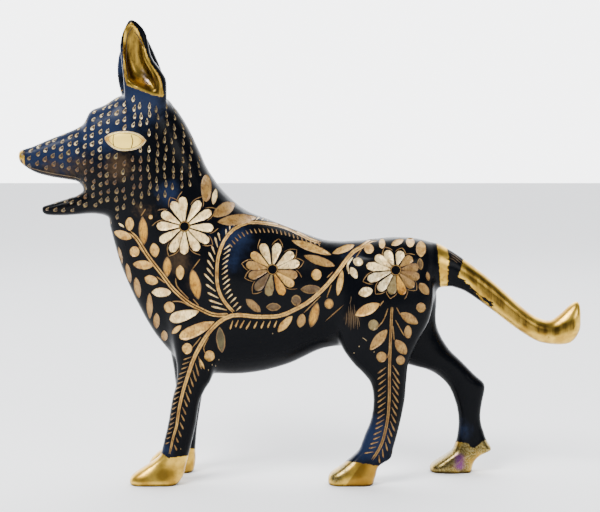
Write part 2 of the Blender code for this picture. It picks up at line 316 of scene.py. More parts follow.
# half a loop, in shares of its petal's length and half width
LOOP = [(0.72, 1.26), (0.86, 1.2), (0.98, 0.92), (1.08, 0.48), (1.17, -0.04)]
LOOP_GONE, LOOP_SHORT = 0.25, 0.5  # a draw under the first leaves half a loop out, over the other cuts it short
RING, RING_HALF = 4.9, 0.42
FINE_CUT = 0.16  # mm


def daisy(x, y, petals, loops):
    """petals are (angle in degrees, length, tone). loops are the numbers of those with a loop round the tip."""
    heart = np.array((x, y))
    for angle, length, tone in petals:
        way = np.array((math.cos(math.radians(angle)), -math.sin(math.radians(angle))))
        reach = [heart + way * r for r in (PETAL_START, (PETAL_START + length) / 2, length)]
        mark(reach, PETAL_HALF, tone, form=PETAL_FORM, steps=13)
    for number in loops:
        angle, length, tone = petals[number]
        way = np.array((math.cos(math.radians(angle)), -math.sin(math.radians(angle))))
        across = np.array((-way[1], way[0]))
        for side in (-1, 1):
            chance = hand.uniform()
            if chance < LOOP_GONE:
                continue
            outline = LOOP[1:] if chance > LOOP_SHORT else LOOP
            path = [heart + way * length * r + across * side * PETAL_HALF * s for r, s in outline]
            mark(path, LOOP_HALF, TAN, fullness=0.5, swell=0.6, steps=8, depth=FINE_CUT, sides=(LEFT,))
    for start in (0, 180):
        turns = np.radians(np.linspace(start - 6, start + 186, 8))
        ring = [heart + RING * np.array((math.cos(a), -math.sin(a))) for a in turns]
        mark(ring, RING_HALF, GOLD, fullness=0.1, steps=10, depth=FINE_CUT)


daisy(
    184.5, 226.5,
    [(a, r, CREAM) for a, r in zip(
        (116, 94, 59, 30, 357, 327, 299, 269, 242, 211, 179, 149),
        (28, 30, 30, 31, 29, 29, 28, 28, 29, 29, 28, 27))],
    (0, 1, 2, 3, 4, 5, 6, 8, 10, 11),
)
daisy(
    272.4, 269.4,
    [(14, 28, CREAM), (39, 27, CREAM), (78, 27, CREAM), (112, 28, CREAM), (142, 27, GOLD), (169, 27, TAN),
     (197, 25, BROWN), (231, 27, UMBER), (261, 27, DIM), (293, 28, AMBER), (322, 27, GOLD), (345, 26, TAN)],
    (0, 1, 2, 3, 4, 5, 6, 7, 9, 10, 11),
)
daisy(
    395.8, 270.1,
    [(8, 23, BROWN), (39, 21, TAN), (74, 20, CREAM), (116, 22, CREAM), (145, 25, CREAM), (171, 30, CREAM),
     (199, 30, PALE), (230, 27, PALE), (259, 25, DIM), (287, 26, AMBER), (316, 25, BROWN), (342, 25, BROWN)],
    (1, 2, 3, 6, 7, 8, 9, 10),
)

# ---------------------------------------------------------------------------------------------
# The stems: double lines that run up the front leg, along the belly and over to the rump,
# up the chest to the shoulder's daisy, over the flank's daisy in an arch, and down the hind leg.
BELLY_STEM = [
    (169.5, 454), (173, 438), (176.5, 426), (179, 409), (183, 391), (188, 375), (194, 358), (202, 343),
    (211, 330), (222, 320), (235, 315), (258, 316.8), (279, 316), (294, 310), (309, 301.5), (323, 289),
    (336, 274), (345, 261.5), (353, 252), (361, 247), (370, 241), (377, 239.5),
]
CHEST_STEM = [
    (228, 315), (213, 314.6), (199.6, 308.8), (188.8, 303), (173, 289), (163, 275.7), (153, 263),
    (145.7, 253), (137, 239), (129.3, 231.8),
]
ARCH_STEM = [
    (233.5, 312), (226, 303.8), (219.5, 293), (217, 281.5), (217, 267.4), (218.6, 255), (224.4, 240),
    (234, 229), (248, 222.5), (260, 222.5), (272, 224), (285, 227), (300, 234), (310, 239), (321, 243),
]
ARCH_ROOTS = [
    (237, 312), (232.5, 307), (229.8, 303), (227.5, 299.6), (223.5, 291), (222.3, 281), (221.5, 273.5),
    (222.3, 262), (223.8, 249),
]
ARCH_UNDER = [
    (227.5, 245), (237, 234.5), (247, 229.5), (258, 228), (272, 228.4), (286, 231.4), (300, 236), (319, 241),
]
HIND_STEM = [
    (392, 307), (391.3, 320), (391, 329.6), (390.4, 341), (390, 353), (389.4, 377), (389.4, 390),
    (389, 403), (387.5, 420), (383, 440), (378, 451), (372, 460),
]
HIND_STEM_RIGHT = [
    (396.9, 304), (396.6, 327.4), (404, 340), (416.3, 353.9), (437.7, 369.7), (457.1, 380.4), (472.4, 392.7),
    (475.4, 410), (476.2, 428.4), (477.5, 438),
]
double(BELLY_STEM, 2.1, 1.15, GOLD, fine=0.55, steps=66)
double(CHEST_STEM, 2.4, 0.9, GOLD, steps=30)
double(ARCH_STEM, 1.7, 0.95, GOLD, steps=36)
double(HIND_STEM, 1.6, 0.75, steps=34, sides=(LEFT,))
double(HIND_STEM_RIGHT, 1.6, 0.75, steps=34, sides=(RIGHT,))

# ---------------------------------------------------------------------------------------------
# Leaves and buds: single deep cuts with fine stalks, scattered on both sides of the stems.
STALK, STALK_CUT = 0.7, 0.18  # squares, mm
LEAF_POINTED = 1.4
PLAIN_SIDE_LEAST = 4.6  # the right side, which is plainer, has only the leaves wider than this


def leaf(tip, root, half_width, tone=GOLD, **more):
    if half_width <= PLAIN_SIDE_LEAST:
        more.setdefault("sides", (LEFT,))
    middle = ((tip[0] + root[0]) / 2, (tip[1] + root[1]) / 2)
    rimmed([tip, middle, root], half_width, tone, **{"fullness": LEAF_POINTED, **more})


def stalk(*path):
    mark(path, STALK, TAN, fullness=0.3, steps=8, depth=STALK_CUT, sides=(LEFT,))


# chest and shoulder
bud(134.5, 251.6, 5.3)
stalk((138.6, 246.6), (144.8, 254.1))
leaf((132.8, 264), (153.1, 265.7), 4.8)
leaf((144.4, 277.7), (158, 282.5), 5.2)
stalk((156.5, 276.5), (165, 283))
leaf((151.5, 292.2), (171, 292.5), 5.2, CREAM)
bud(169.3, 307.2, 5.6)
stalk((172.2, 301.4), (181.3, 301.8), (189.6, 306.3))
leaf((169.3, 319.6), (199, 311.3), 6.2, CREAM, swell=0.42)
leaf((179.2, 337.8), (214.5, 321.7), 6.6, swell=0.42)
leaf((171.8, 333.7), (181.3, 325.4), 2.8)
bud(187.1, 348.6, 5.6)
stalk((192, 348), (201, 337))
bud(129.6, 224, 4.5, tall=1.5)
leaf((114, 231.8), (131.5, 238.4), 4.6)
leaf((142.5, 216.4), (144, 245), 5.2, AMBER)
stalk((145.5, 209), (141, 216))
bud(150.6, 217, 2.3)
leaf((118.3, 223), (124.2, 227.4), 1.2, CREAM)
leaf((153.5, 243), (155.5, 257.5), 5.0)
leaf((167.2, 256.6), (167.2, 277), 5.0, AMBER, sides=(LEFT, RIGHT))
leaf((180, 265), (180, 280), 4.7)
stalk((175.5, 278), (177, 286.4), (188.8, 299))
leaf((192, 269), (198.5, 299.5), 6.4, AMBER)
stalk((200, 259), (192.5, 269))
stalk((193, 299), (198.7, 305.5))
for tip, root, half in (
    ((118.3, 246.6), (122, 264), 2), ((126.6, 263.2), (130.3, 283), 2.8), ((135.7, 277.3), (139, 298), 3.6),
    ((149.4, 293), (149.8, 318.8), 3.3), ((156.4, 313), (156.4, 328.7), 3.6),
    ((163.9, 330.4), (164.7, 341.2), 3.6),
):
    leaf(tip, root, half, TAN)
# foreleg
leaf((222, 352.8), (219.5, 327), 5.2, OLIVE)
bud(209.5, 356, 5.6)
stalk((208.3, 337.8), (203.7, 347.8), (205.4, 353.6))
leaf((204.5, 369.4), (199.6, 358.6), 1.4)
# withers
leaf((206.4, 174.5), (206, 201.7), 5.8, TAN, fullness=0.9)
leaf((216, 188.5), (213.2, 204.6), 2.8, CREAM)
leaf((235, 203), (213, 216), 6.6, TAN)
leaf((256.7, 217.2), (217.4, 222), 5.6, TAN)
# flank
leaf((260.5, 312), (246, 299), 4.8, BROWN)
leaf((281, 307), (266, 307), 4.8, UMBER)
bud(296.2, 300.4, 5.6, UMBER)
leaf((321.4, 289.3), (300.4, 289.3), 5.2, UMBER)
bud(316.4, 274.7, 5.7)
stalk((326.8, 277.8), (332.9, 271.7))
leaf((335, 266), (303.8, 255.6), 4.7, TAN)
leaf((331.3, 254.8), (291.6, 240.3), 4.3)
leaf((354.5, 244.9), (332.3, 253.3), 3.8)
leaf((277.8, 332), (292.3, 316), 4.3)
leaf((299.5, 327.5), (303, 313.7), 4.8, TAN)
stalk((303.8, 313), (311.5, 305.3), (320.6, 296.2))
leaf((310.7, 327.5), (317.5, 302.3), 5.3, AMBER)
bud(329, 303.8, 5.3, AMBER)
stalk((326.8, 297.7), (331.4, 284.7))
leaf((337.6, 295.8), (342.5, 270), 3.4)
leaf((325, 321.4), (344, 304.6), 0.7, TAN)
# rump and haunch
bud(369, 248.7, 5.1)
stalk((356, 257), (361.4, 249.5))
bud(382, 243.4, 3.4, tall=1.5)
leaf((403.5, 239.5), (391.2, 244.9), 3.3)
bud(410.3, 241.8, 4.4, tall=1.2)
leaf((421, 240.3), (421, 257.1), 5.2)
leaf((421, 270), (419.6, 258), 3.6, UMBER)
leaf((428.7, 280.9), (427.2, 271.7), 2.3, TAN)
leaf((428.7, 294.6), (419.5, 283.1), 4.7, TAN)
bud(421, 307.6, 5.1, TAN)
leaf((418, 323.7), (400.4, 313), 5.2, TAN)
stalk((396.6, 307.6), (400.4, 315))
bud(408, 332, 4.1, TAN, tall=1.6)
stalk((395.5, 320), (400.6, 329.6), (404.5, 336))
leaf((355.2, 315.3), (379.7, 303.8), 5.6)
stalk((379.7, 306), (383.6, 300.7))
bud(373.4, 325, 5.6, DIM)
stalk((388, 308.4), (383.6, 320), (378, 327))
leaf((370, 350), (387.2, 329.6), 5.2, TAN)
bud(381.5, 357, 5.4, TAN)
stalk((391, 341), (389, 352), (387.2, 358.3))
leaf((406.3, 354.4), (395.5, 339.8), 5.2, TAN)
stalk((393, 326), (394.2, 340.4))
bud(400.6, 360.2, 4.8, TAN)
leaf((353, 260), (363, 263.5), 4.7, IVORY)
leaf((350.7, 267), (356.8, 278.6), 3.8, IVORY)
mark([(353, 257), (347.6, 264.8), (349, 274)], 1.3, IVORY, fullness=0.5)
leaf((358.3, 293.9), (372.8, 290), 5.4, IVORY)
leaf((396, 358), (405, 343.5), 4.9, sides=(RIGHT,))
bud(421.5, 343, 4.8, sides=(RIGHT,))
leaf((428, 376), (428, 364), 4.0, sides=(RIGHT,))

# ---------------------------------------------------------------------------------------------
# The wear on the side that is seen: fine cuts where the lacquer has worn or been struck off.
# Grooves follow the near ear's rim, a line along the lip is partly worn lacquer and partly a painted sheen on
# its edge, and scratches lie on the tail and by the haunch.
GROOVE_CUT, SCRATCH_CUT, CHIP_CUT = 0.16, 0.07, 0.06  # mm
LIP = [(30, 167.6), (42, 171.2), (58, 174.6), (72, 176.8), (79.3, 179), (84.2, 183.8), (86, 189), (84.4, 193.5)]
mark(
    [(133.4, 26.8), (128.6, 33), (126.6, 41), (126.2, 55), (126.5, 64), (127.6, 78)], 0.5, PIT,
    fullness=0.4, steps=16, depth=GROOVE_CUT, sides=(LEFT,),
)
mark([(133.4, 31.4), (137, 34.6), (141.4, 42.4), (144, 48.5)], 0.6, PIT, depth=GROOVE_CUT, sides=(LEFT,))
# the lip's pale line: worn lacquer, and a painted sheen where the lip's edge catches the light
mark(LIP, 0.55, DIM, fullness=0.3, steps=18, depth=0.08, sides=(LEFT,))
for path in (
    [(448.5, 251.5), (455, 255.5), (463, 262)], [(451, 255.5), (456, 258.8), (461.5, 263.5)],
    [(454, 252.6), (459, 256), (464.5, 260.5)], [(450, 258), (454, 260), (457.5, 263.2)],
):
    mark(path, 0.45, DIM, depth=CHIP_CUT, sides=(LEFT,))
for x, top, bottom, lean in (
    (346.5, 313, 325, -1), (348.4, 306, 327, 0.4), (350.3, 303, 330, 0.6), (352.2, 309, 329, 1.4),
    (354, 304, 326, 1.2), (355.8, 311, 330, 2), (357.3, 316, 327, 2.4), (351.2, 296, 304, -1.5),
):
    scratch = [(x, top), (x + lean / 2 + 0.5, (top + bottom) / 2), (x + lean, bottom)]
    mark(scratch, 0.5, DIM, depth=SCRATCH_CUT, sides=(LEFT,))
mark([(362, 337.5), (364.5, 339), (367, 341.2)], 0.6, IVORY, depth=CHIP_CUT, sides=(LEFT,))
for x, y in (
    (359, 346.4), (353.9, 353), (371, 349), (374, 352), (218.8, 359.8), (212, 364.9), (208.3, 370),
    (215.5, 366), (180.5, 449), (272.5, 333.6),
):
    mark([(x, y - 0.8), (x + 0.2, y), (x, y + 0.8)], 0.7, IVORY, depth=CHIP_CUT, steps=4, sides=(LEFT,))

# ---------------------------------------------------------------------------------------------
# The eyes: polished almonds that stand a little out of the cheek.
# A bright rim is cut round each, and two bowed lines across it make the iris.
ALMOND = [
    (104.8, 137.4), (110, 134.0), (117, 132.2), (125, 131.6), (134, 132.8), (141, 135.8), (146, 140.6),
    (141.5, 145.6), (135, 148.9), (125, 150.4), (116, 149), (110, 145.2), (106, 141),
]
EYE_MIDDLE, EYE_GROOVE = np.array((125.3, 141.0)), 0.84
rim = np.array(ALMOND + [ALMOND[0]])
groove = EYE_MIDDLE + (rim - EYE_MIDDLE) * EYE_GROOVE
for half in (slice(0, 7), slice(6, None)):
    mark(rim[half], 0.8, IVORY, fullness=0.25, steps=22, depth=0.2)
    mark(groove[half], 0.35, BROWN, fullness=0.25, steps=22, depth=0.12)
mark([(113.8, 134.5), (113.0, 141), (114.2, 147.5)], 0.5, UMBER, fullness=0.4)
mark([(131.0, 134.6), (132.8, 141.5), (131.0, 148.6)], 0.6, UMBER, fullness=0.4)

# ---------------------------------------------------------------------------------------------
# The fern fronds: short strokes chiselled at an even pitch along the stems of the legs and the arch.
# The tree sets one stroke at each step along a stem, leaning from it, with a little hand's unevenness.
FERN_SEED, FERN_SEGMENTS = 7, 7
SHORTEST, LONGEST = 0.86, 1.12  # a stroke's length, as a share of what it should be
ROOT_WIDTH, ROOT_DEPTH = 0.32, 0.15  # the shares of a stroke's width and depth that it has at its root
BLUNTNESS = 7.0  # how square its outer end is
FERNS = [
    # stem, from, to (shares of its length), pitch, stroke at the end, times that at the start,
    # lean in degrees, hand, half width, gap to the stem, tone, how far all lean one way
    (ARCH_STEM, 0.03, 0.41, 6.6, 9.0, 1.7, 36, 1, 1.6, 3.6, CREAM, 0.0),
    (ARCH_ROOTS, 0.02, 0.99, 4.9, 8.6, 0.9, 62, -1, 1.2, 0.0, CREAM, 0.85),
    (ARCH_STEM, 0.45, 0.95, 5.4, 5.5, 1.0, 40, 1, 1.1, 2.6, CREAM, 0.0),
    (ARCH_UNDER, 0.02, 0.99, 4.3, 5.0, 1.0, 68, -1, 1.05, 0.0, TAN, 0.6),
    (BELLY_STEM, 0.035, 0.30, 4.9, 8.5, 0.5, 131, 1, 1.1, 2.8, TAN, 0.0),
    (BELLY_STEM, 0.03, 0.31, 7.2, 13.0, 0.45, 144, -1, 1.35, 2.8, TAN, 0.0),
    (BELLY_STEM, 0.475, 0.61, 5.9, 8.8, 1.0, 115, -1, 1.5, 4.6, GOLD, 0.0),
    (HIND_STEM, 0.385, 0.95, 5.6, 9.0, 1.1, 52, -1, 1.2, 3.4, TAN, 0.0),
    (HIND_STEM, 0.37, 0.95, 6.5, 8.0, 1.7, 33, 1, 1.3, 3.0, TAN, 0.0),
    (HIND_STEM_RIGHT, 0.36, 0.96, 6.5, 6.5, 1.4, 48, -1, 1.2, 3.2, TAN, 0.0),
    (HIND_STEM_RIGHT, 0.34, 0.96, 6.5, 6.5, 1.4, 42, 1, 1.2, 3.2, TAN, 0.0),
]


def new_tree(name, wanted):
    """An empty geometry tree with the named inputs, and its way in and way out."""
    tree = bpy.data.node_groups.new(name, "GeometryNodeTree")
    tree.interface.new_socket("Geometry", in_out="INPUT", socket_type="NodeSocketGeometry")
    tree.interface.new_socket("Geometry", in_out="OUTPUT", socket_type="NodeSocketGeometry")
    for label, kind in wanted.items():
        tree.interface.new_socket(label, in_out="INPUT", socket_type="NodeSocket" + kind)
    return tree, tree.nodes.new("NodeGroupInput").outputs, tree.nodes.new("NodeGroupOutput").inputs


def math_of(tree, operation, a, b=None):
    wires = {0: a} if b is None else {0: a, 1: b}
    return step(tree, "ShaderNodeMath", wires, operation=operation)[0]


def vector_of(tree, operation, a, b):
    socket = {0: a, 3: b} if operation == "SCALE" else {0: a, 1: b}
    return step(tree, "ShaderNodeVectorMath", socket, operation=operation)[0]


def unit_of(tree, vector):
    return step(tree, "ShaderNodeVectorMath", {0: vector}, operation="NORMALIZE")[0]


def named(tree, name, kind="FLOAT"):
    return step(tree, "GeometryNodeInputNamedAttribute", {"Name": name}, data_type=kind)["Attribute"]


def store(tree, geometry, name, value, kind="FLOAT", domain="POINT"):
    wires = {"Geometry": geometry, "Name": name, "Value": value}
    return step(tree, "GeometryNodeStoreNamedAttribute", wires, data_type=kind, domain=domain)["Geometry"]


def coat(tree, geometry):
    """Ends a tree: what it made is made real, given its material and sent out."""
    geometry = step(tree, "GeometryNodeRealizeInstances", {"Geometry": geometry})["Geometry"]
    wires = {"Geometry": geometry, "Material": given["Material"]}
    tree.links.new(step(tree, "GeometryNodeSetMaterial", wires)["Geometry"], result["Geometry"])


def run_tree(tree, mesh, values):
    """Runs a tree on a mesh and gives the plain mesh that it makes. Inputs are set by identifier."""
    holder = bpy.data.objects.new(tree.name, mesh)
    scene.collection.objects.link(holder)
    maker = holder.modifiers.new(tree.name, "NODES")
    maker.node_group = tree
    for item in tree.interface.items_tree:
        if item.in_out == "INPUT" and item.name in values:
            maker[item.identifier] = values[item.name]
    graph = bpy.context.evaluated_depsgraph_get()
    made = bpy.data.meshes.new_from_object(holder.evaluated_get(graph))
    bpy.data.objects.remove(holder)
    return made


# The gouge tree sweeps a profile along each path, and lays it on the casting along the lines of sight.
SIGHT_LENGTH = 2.0  # m
gouge, given, result = new_tree(
    "gouge",
    {"Casting": "Object", "Eye": "Vector", "Lip": "Float", "Clear": "Float", "Fullness": "Float",
     "Profile Points": "Int", "Material": "Material"},
)
paths = step(gouge, "GeometryNodeMeshToCurve", {"Mesh": given["Geometry"]})["Curve"]
paths = store(gouge, paths, "middle", step(gouge, "GeometryNodeInputPosition")[0], "FLOAT_VECTOR")
profile = step(
    gouge, "GeometryNodeCurvePrimitiveCircle", {"Resolution": given["Profile Points"], "Radius": 1.0}
)["Curve"]
around = step(gouge, "ShaderNodeSeparateXYZ", {0: step(gouge, "GeometryNodeInputPosition")[0]})
profile = store(gouge, profile, "across", around[0])
profile = store(gouge, profile, "layer", around[1])
swept = step(
    gouge, "GeometryNodeCurveToMesh", {"Curve": paths, "Profile Curve": profile, "Fill Caps": True}
)["Mesh"]
offset_in_plane = vector_of(gouge, "SCALE", named(gouge, "reach", "FLOAT_VECTOR"), named(gouge, "across"))
on_paper = vector_of(gouge, "ADD", named(gouge, "middle", "FLOAT_VECTOR"), offset_in_plane)
casting_info = step(gouge, "GeometryNodeObjectInfo", {"Object": given["Casting"]})
sight = step(
    gouge, "GeometryNodeRaycast",
    {"Target Geometry": casting_info["Geometry"], "Attribute": named(gouge, "smooth_normal", "FLOAT_VECTOR"),
     "Source Position": given["Eye"], "Ray Direction": vector_of(gouge, "SUBTRACT", on_paper, given["Eye"]),
     "Ray Length": SIGHT_LENGTH},
    data_type="FLOAT_VECTOR",
)
layer = named(gouge, "layer")
above = math_of(gouge, "MULTIPLY", math_of(gouge, "MAXIMUM", layer, 0.0), given["Clear"])
below = math_of(gouge, "MAXIMUM", math_of(gouge, "MULTIPLY", layer, -1.0), 0.0)
below = math_of(gouge, "POWER", below, given["Fullness"])
sunk = math_of(gouge, "MULTIPLY", below, math_of(gouge, "ADD", named(gouge, "deep"), given["Lip"]))
height = math_of(gouge, "SUBTRACT", math_of(gouge, "ADD", given["Lip"], above), sunk)
raised = vector_of(gouge, "SCALE", unit_of(gouge, sight["Attribute"]), height)
wrapped = step(
    gouge, "GeometryNodeSetPosition",
    {"Geometry": swept, "Position": vector_of(gouge, "ADD", sight["Hit Position"], raised)},
)["Geometry"]
coat(gouge, wrapped)

# The fern tree: a stem in, and out of it the paths of its strokes, which the gouge tree then cuts.
fern, given, result = new_tree(
    "fern",
    {"From": "Float", "To": "Float", "Pitch": "Float", "Stroke": "Float", "First": "Float", "Lean": "Float",
     "Hand": "Float", "Half Width": "Float", "Gap": "Float", "Deep": "Float", "Seed": "Int", "Segments": "Int",
     "Steady": "Float", "Chord": "Vector", "Material": "Material"},
)
stem = step(fern, "GeometryNodeMeshToCurve", {"Mesh": given["Geometry"]})["Curve"]
stem = {"Curve": stem, 2: given["From"], 3: given["To"]}
stem = step(fern, "GeometryNodeTrimCurve", stem, mode="FACTOR")["Curve"]
rows = {"Curve": stem, "Length": given["Pitch"]}
rows = step(fern, "GeometryNodeResampleCurve", rows, mode="LENGTH")["Curve"]
tangent = step(fern, "GeometryNodeInputTangent")[0]
wanted = vector_of(fern, "SCALE", vector_of(fern, "SUBTRACT", given["Chord"], tangent), given["Steady"])
tangent = unit_of(fern, vector_of(fern, "ADD", tangent, wanted))
square_on = vector_of(fern, "SCALE", vector_of(fern, "CROSS_PRODUCT", tangent, (0.0, 1.0, 0.0)), given["Hand"])
rows = store(fern, rows, "out", square_on, "FLOAT_VECTOR")
rows = store(fern, rows, "onward", tangent, "FLOAT_VECTOR")
uneven = {"Min": SHORTEST, "Max": LONGEST, "Seed": given["Seed"]}
uneven = step(fern, "FunctionNodeRandomValue", uneven, data_type="FLOAT")
along = step(fern, "GeometryNodeSplineParameter")["Factor"]
more_at_start = math_of(fern, "SUBTRACT", given["First"], 1.0)
length = math_of(fern, "MULTIPLY", math_of(fern, "SUBTRACT", 1.0, along), more_at_start)
length = math_of(fern, "MULTIPLY", math_of(fern, "ADD", length, 1.0), next(o for o in uneven if o.enabled))
rows = store(fern, rows, "size", length)
rows = store(fern, rows, "root", step(fern, "GeometryNodeInputPosition")[0], "FLOAT_VECTOR")
blank = {"Start": (0.0, 0.0, 0.0), "End": (1.0, 0.0, 0.0)}
blank = step(fern, "GeometryNodeCurvePrimitiveLine", blank)["Curve"]
blank = {"Curve": blank, "Count": given["Segments"]}
blank = step(fern, "GeometryNodeResampleCurve", blank, mode="COUNT")["Curve"]
blank = store(fern, blank, "share", step(fern, "GeometryNodeSplineParameter")["Factor"])
strokes = step(fern, "GeometryNodeInstanceOnPoints", {"Points": rows, "Instance": blank})["Instances"]
strokes = step(fern, "GeometryNodeRealizeInstances", {"Geometry": strokes})["Geometry"]
onward = vector_of(fern, "SCALE", named(fern, "onward", "FLOAT_VECTOR"), math_of(fern, "COSINE", given["Lean"]))
away = vector_of(fern, "SCALE", named(fern, "out", "FLOAT_VECTOR"), math_of(fern, "SINE", given["Lean"]))
heading = vector_of(fern, "ADD", onward, away)
run = math_of(fern, "MULTIPLY", named(fern, "share"), given["Stroke"])
run = math_of(fern, "MULTIPLY", run, named(fern, "size"))
off_stem = vector_of(fern, "SCALE", named(fern, "out", "FLOAT_VECTOR"), given["Gap"])
place = vector_of(fern, "ADD", named(fern, "root", "FLOAT_VECTOR"), off_stem)
place = vector_of(fern, "ADD", place, vector_of(fern, "SCALE", heading, run))
strokes = step(fern, "GeometryNodeSetPosition", {"Geometry": strokes, "Position": place})["Geometry"]
blunt = math_of(fern, "SUBTRACT", 1.0, math_of(fern, "POWER", named(fern, "share"), BLUNTNESS))
blunt = math_of(fern, "SQRT", math_of(fern, "MAXIMUM", blunt, 0.1))
taper = math_of(fern, "ADD", math_of(fern, "MULTIPLY", named(fern, "share"), 1 - ROOT_WIDTH), ROOT_WIDTH)
taper = math_of(fern, "MULTIPLY", taper, blunt)
normal = vector_of(fern, "CROSS_PRODUCT", heading, (0.0, 1.0, 0.0))
reach = vector_of(fern, "SCALE", normal, math_of(fern, "MULTIPLY", taper, given["Half Width"]))
strokes = store(fern, strokes, "reach", reach, "FLOAT_VECTOR")
deep = math_of(fern, "ADD", math_of(fern, "MULTIPLY", taper, 1 - ROOT_DEPTH), ROOT_DEPTH)
strokes = store(fern, strokes, "deep", math_of(fern, "MULTIPLY", deep, given["Deep"]))
coat(fern, step(fern, "GeometryNodeCurveToMesh", {"Curve": strokes})["Mesh"])


def paper_mesh(name, lines, reaches=None, deeps=None, tones=None):
    """Paths on the paper as a mesh of edges in the dog's middle plane, with what the gouge tree reads."""
    points = np.vstack(lines)
    places = np.zeros((len(points), 3))
    places[:, 0] = (points[:, 0] - EYE_COLUMN) * SQUARE + EYE_ACROSS
    places[:, 2] = (EYE_ROW - points[:, 1]) * SQUARE + EYE_UP
    edges, start = [], 0
    for line in lines:
        edges += [(start + i, start + i + 1) for i in range(len(line) - 1)]
        start += len(line)
    mesh = bpy.data.meshes.new(name)
    mesh.from_pydata(places.tolist(), edges, [])
    for label, values in (("reach", reaches), ("deep", deeps), ("tone", tones)):
        if values is not None:
            kind, key = ("FLOAT_VECTOR", "vector") if label == "reach" else ("FLOAT", "value")
            new = mesh.attributes.new(label, kind, "POINT")
            new.data.foreach_set(key, np.concatenate(values).ravel())
    return mesh


def reach_of(entry):
    """Half the mark's width at each point, as a step across it in the middle plane."""
    along = np.gradient(entry["points"], axis=0)
    along /= np.linalg.norm(along, axis=1)[:, None] + 1e-9
    across = np.zeros((len(along), 3))
    across[:, 0], across[:, 2] = -along[:, 1], -along[:, 0]
    return across * entry["widths"][:, None] * SQUARE


TOO_FAR, NEIGHBOURS_GAP = 14, 0.8  # squares, between two marks that can't touch


def in_turns(entries):
    """Shares the marks out so that no two of one turn touch each other."""
    turns = []
    for entry in entries:
        for turn in turns:
            if all(apart(entry, other) for other in turn):
                turn.append(entry)
                break
        else:
            turns.append([entry])
    return turns


def apart(one, other):
    a, b = one["points"], other["points"]
    if (a.min(0) - b.max(0) > TOO_FAR).any() or (b.min(0) - a.max(0) > TOO_FAR).any():
        return True
    distance = np.linalg.norm(a[:, None] - b[None], axis=2)
    return (distance > one["widths"][:, None] + other["widths"][None] + NEIGHBOURS_GAP).all()


chiselled = bpy.data.materials.new("chiselled_brass")
lacquered = bpy.data.materials.new("lacquer_and_brass")
dog.data.materials.clear()
dog.data.materials.append(lacquered)
dog.data.attributes.new("tone", "FLOAT", "FACE")

cutters = []


def add_cutter(mesh, tone=None):
    """Keeps a tree's mesh as a cutter whose faces carry a tone."""
    if tone is None:
        at_points = read(mesh.attributes["tone"].data, "value", 1)
        firsts = read(mesh.polygons, "loop_start", 1).astype(int)
        tones = at_points[read(mesh.loops, "vertex_index", 1).astype(int)[firsts]]
        # a drop's marked floor takes the dark PIT tone, its painted shadow
        if "pit" in mesh.attributes:
            tones[read(mesh.attributes["pit"].data, "value", 1) > 0.5] = PIT
    else:
        tones = np.full(len(mesh.polygons), float(tone))
    kept = [a.name for a in mesh.attributes if a.is_required or a.is_internal or a.name == "material_index"]
    for extra in [name for name in mesh.attributes.keys() if name not in kept]:
        mesh.attributes.remove(mesh.attributes[extra])
    mesh.attributes.new("tone", "FLOAT", "FACE").data.foreach_set("value", tones)
    bm = bmesh.new()
    bm.from_mesh(mesh)
    bmesh.ops.triangulate(bm, faces=[f for f in bm.faces if len(f.verts) > 4])
    bmesh.ops.recalc_face_normals(bm, faces=bm.faces)
    bm.to_mesh(mesh)
    bm.free()
    cutter = bpy.data.objects.new("cutter", mesh)
    scene.collection.objects.link(cutter)
    cutters.append(cutter)


EYES = {side: (EYE_ACROSS, side * EYE_BACK, EYE_UP) for side in (LEFT, RIGHT)}
gouge_values = {
    "Casting": dog, "Lip": MARK_LIP / 1000, "Clear": MARK_CLEAR / 1000, "Fullness": FLOOR_FULLNESS,
    "Profile Points": PROFILE_POINTS, "Material": chiselled,
}
for side in (LEFT, RIGHT):
    for turn in in_turns([entry for entry in marks if side in entry["sides"]]):
        sheet = paper_mesh(
            "marks",
            [entry["points"] for entry in turn],
            [reach_of(entry) for entry in turn],
            [entry["deep"] / 1000 for entry in turn],
            [np.full(len(entry["points"]), float(entry["tone"])) for entry in turn],
        )
        add_cutter(run_tree(gouge, sheet, {**gouge_values, "Eye": EYES[side]}))
    for number, frond in enumerate(FERNS):
        path, start, end, pitch, stroke, first, lean, hand_side, half, gap, tone, steady = frond
        if path in ((ARCH_STEM, ARCH_ROOTS, ARCH_UNDER, HIND_STEM) if side == RIGHT else (HIND_STEM_RIGHT,)):
            continue
        chord = np.array((path[-1][0] - path[0][0], 0, path[0][1] - path[-1][1]), float)
        strokes = run_tree(
            fern, paper_mesh("stem", [np.array(path, float)]),
            {"From": start, "To": end, "Pitch": pitch * SQUARE, "Stroke": stroke * SQUARE, "First": first,
             "Lean": math.radians(lean), "Hand": float(hand_side), "Half Width": half * SQUARE,
             "Gap": gap * SQUARE, "Deep": (SHALLOWEST + DEEPENING * half) / 1000, "Seed": FERN_SEED + number,
             "Segments": FERN_SEGMENTS, "Steady": steady,
             "Chord": chord / np.linalg.norm(chord), "Material": chiselled},
        )
        add_cutter(run_tree(gouge, strokes, {**gouge_values, "Eye": EYES[side]}), tone)

# ---------------------------------------------------------------------------------------------
# The punch marks: drop-shaped pits struck in staggered rows all over the head and the neck.
# One tree lays the rows round the head, and one strikes a drop at each place, its point upwards.
ROW_STEP, PUNCH_PITCH = 8.0, 8.7
RING_RAYS, RING_START, RAY_LENGTH = 160, 0.0001, 0.1
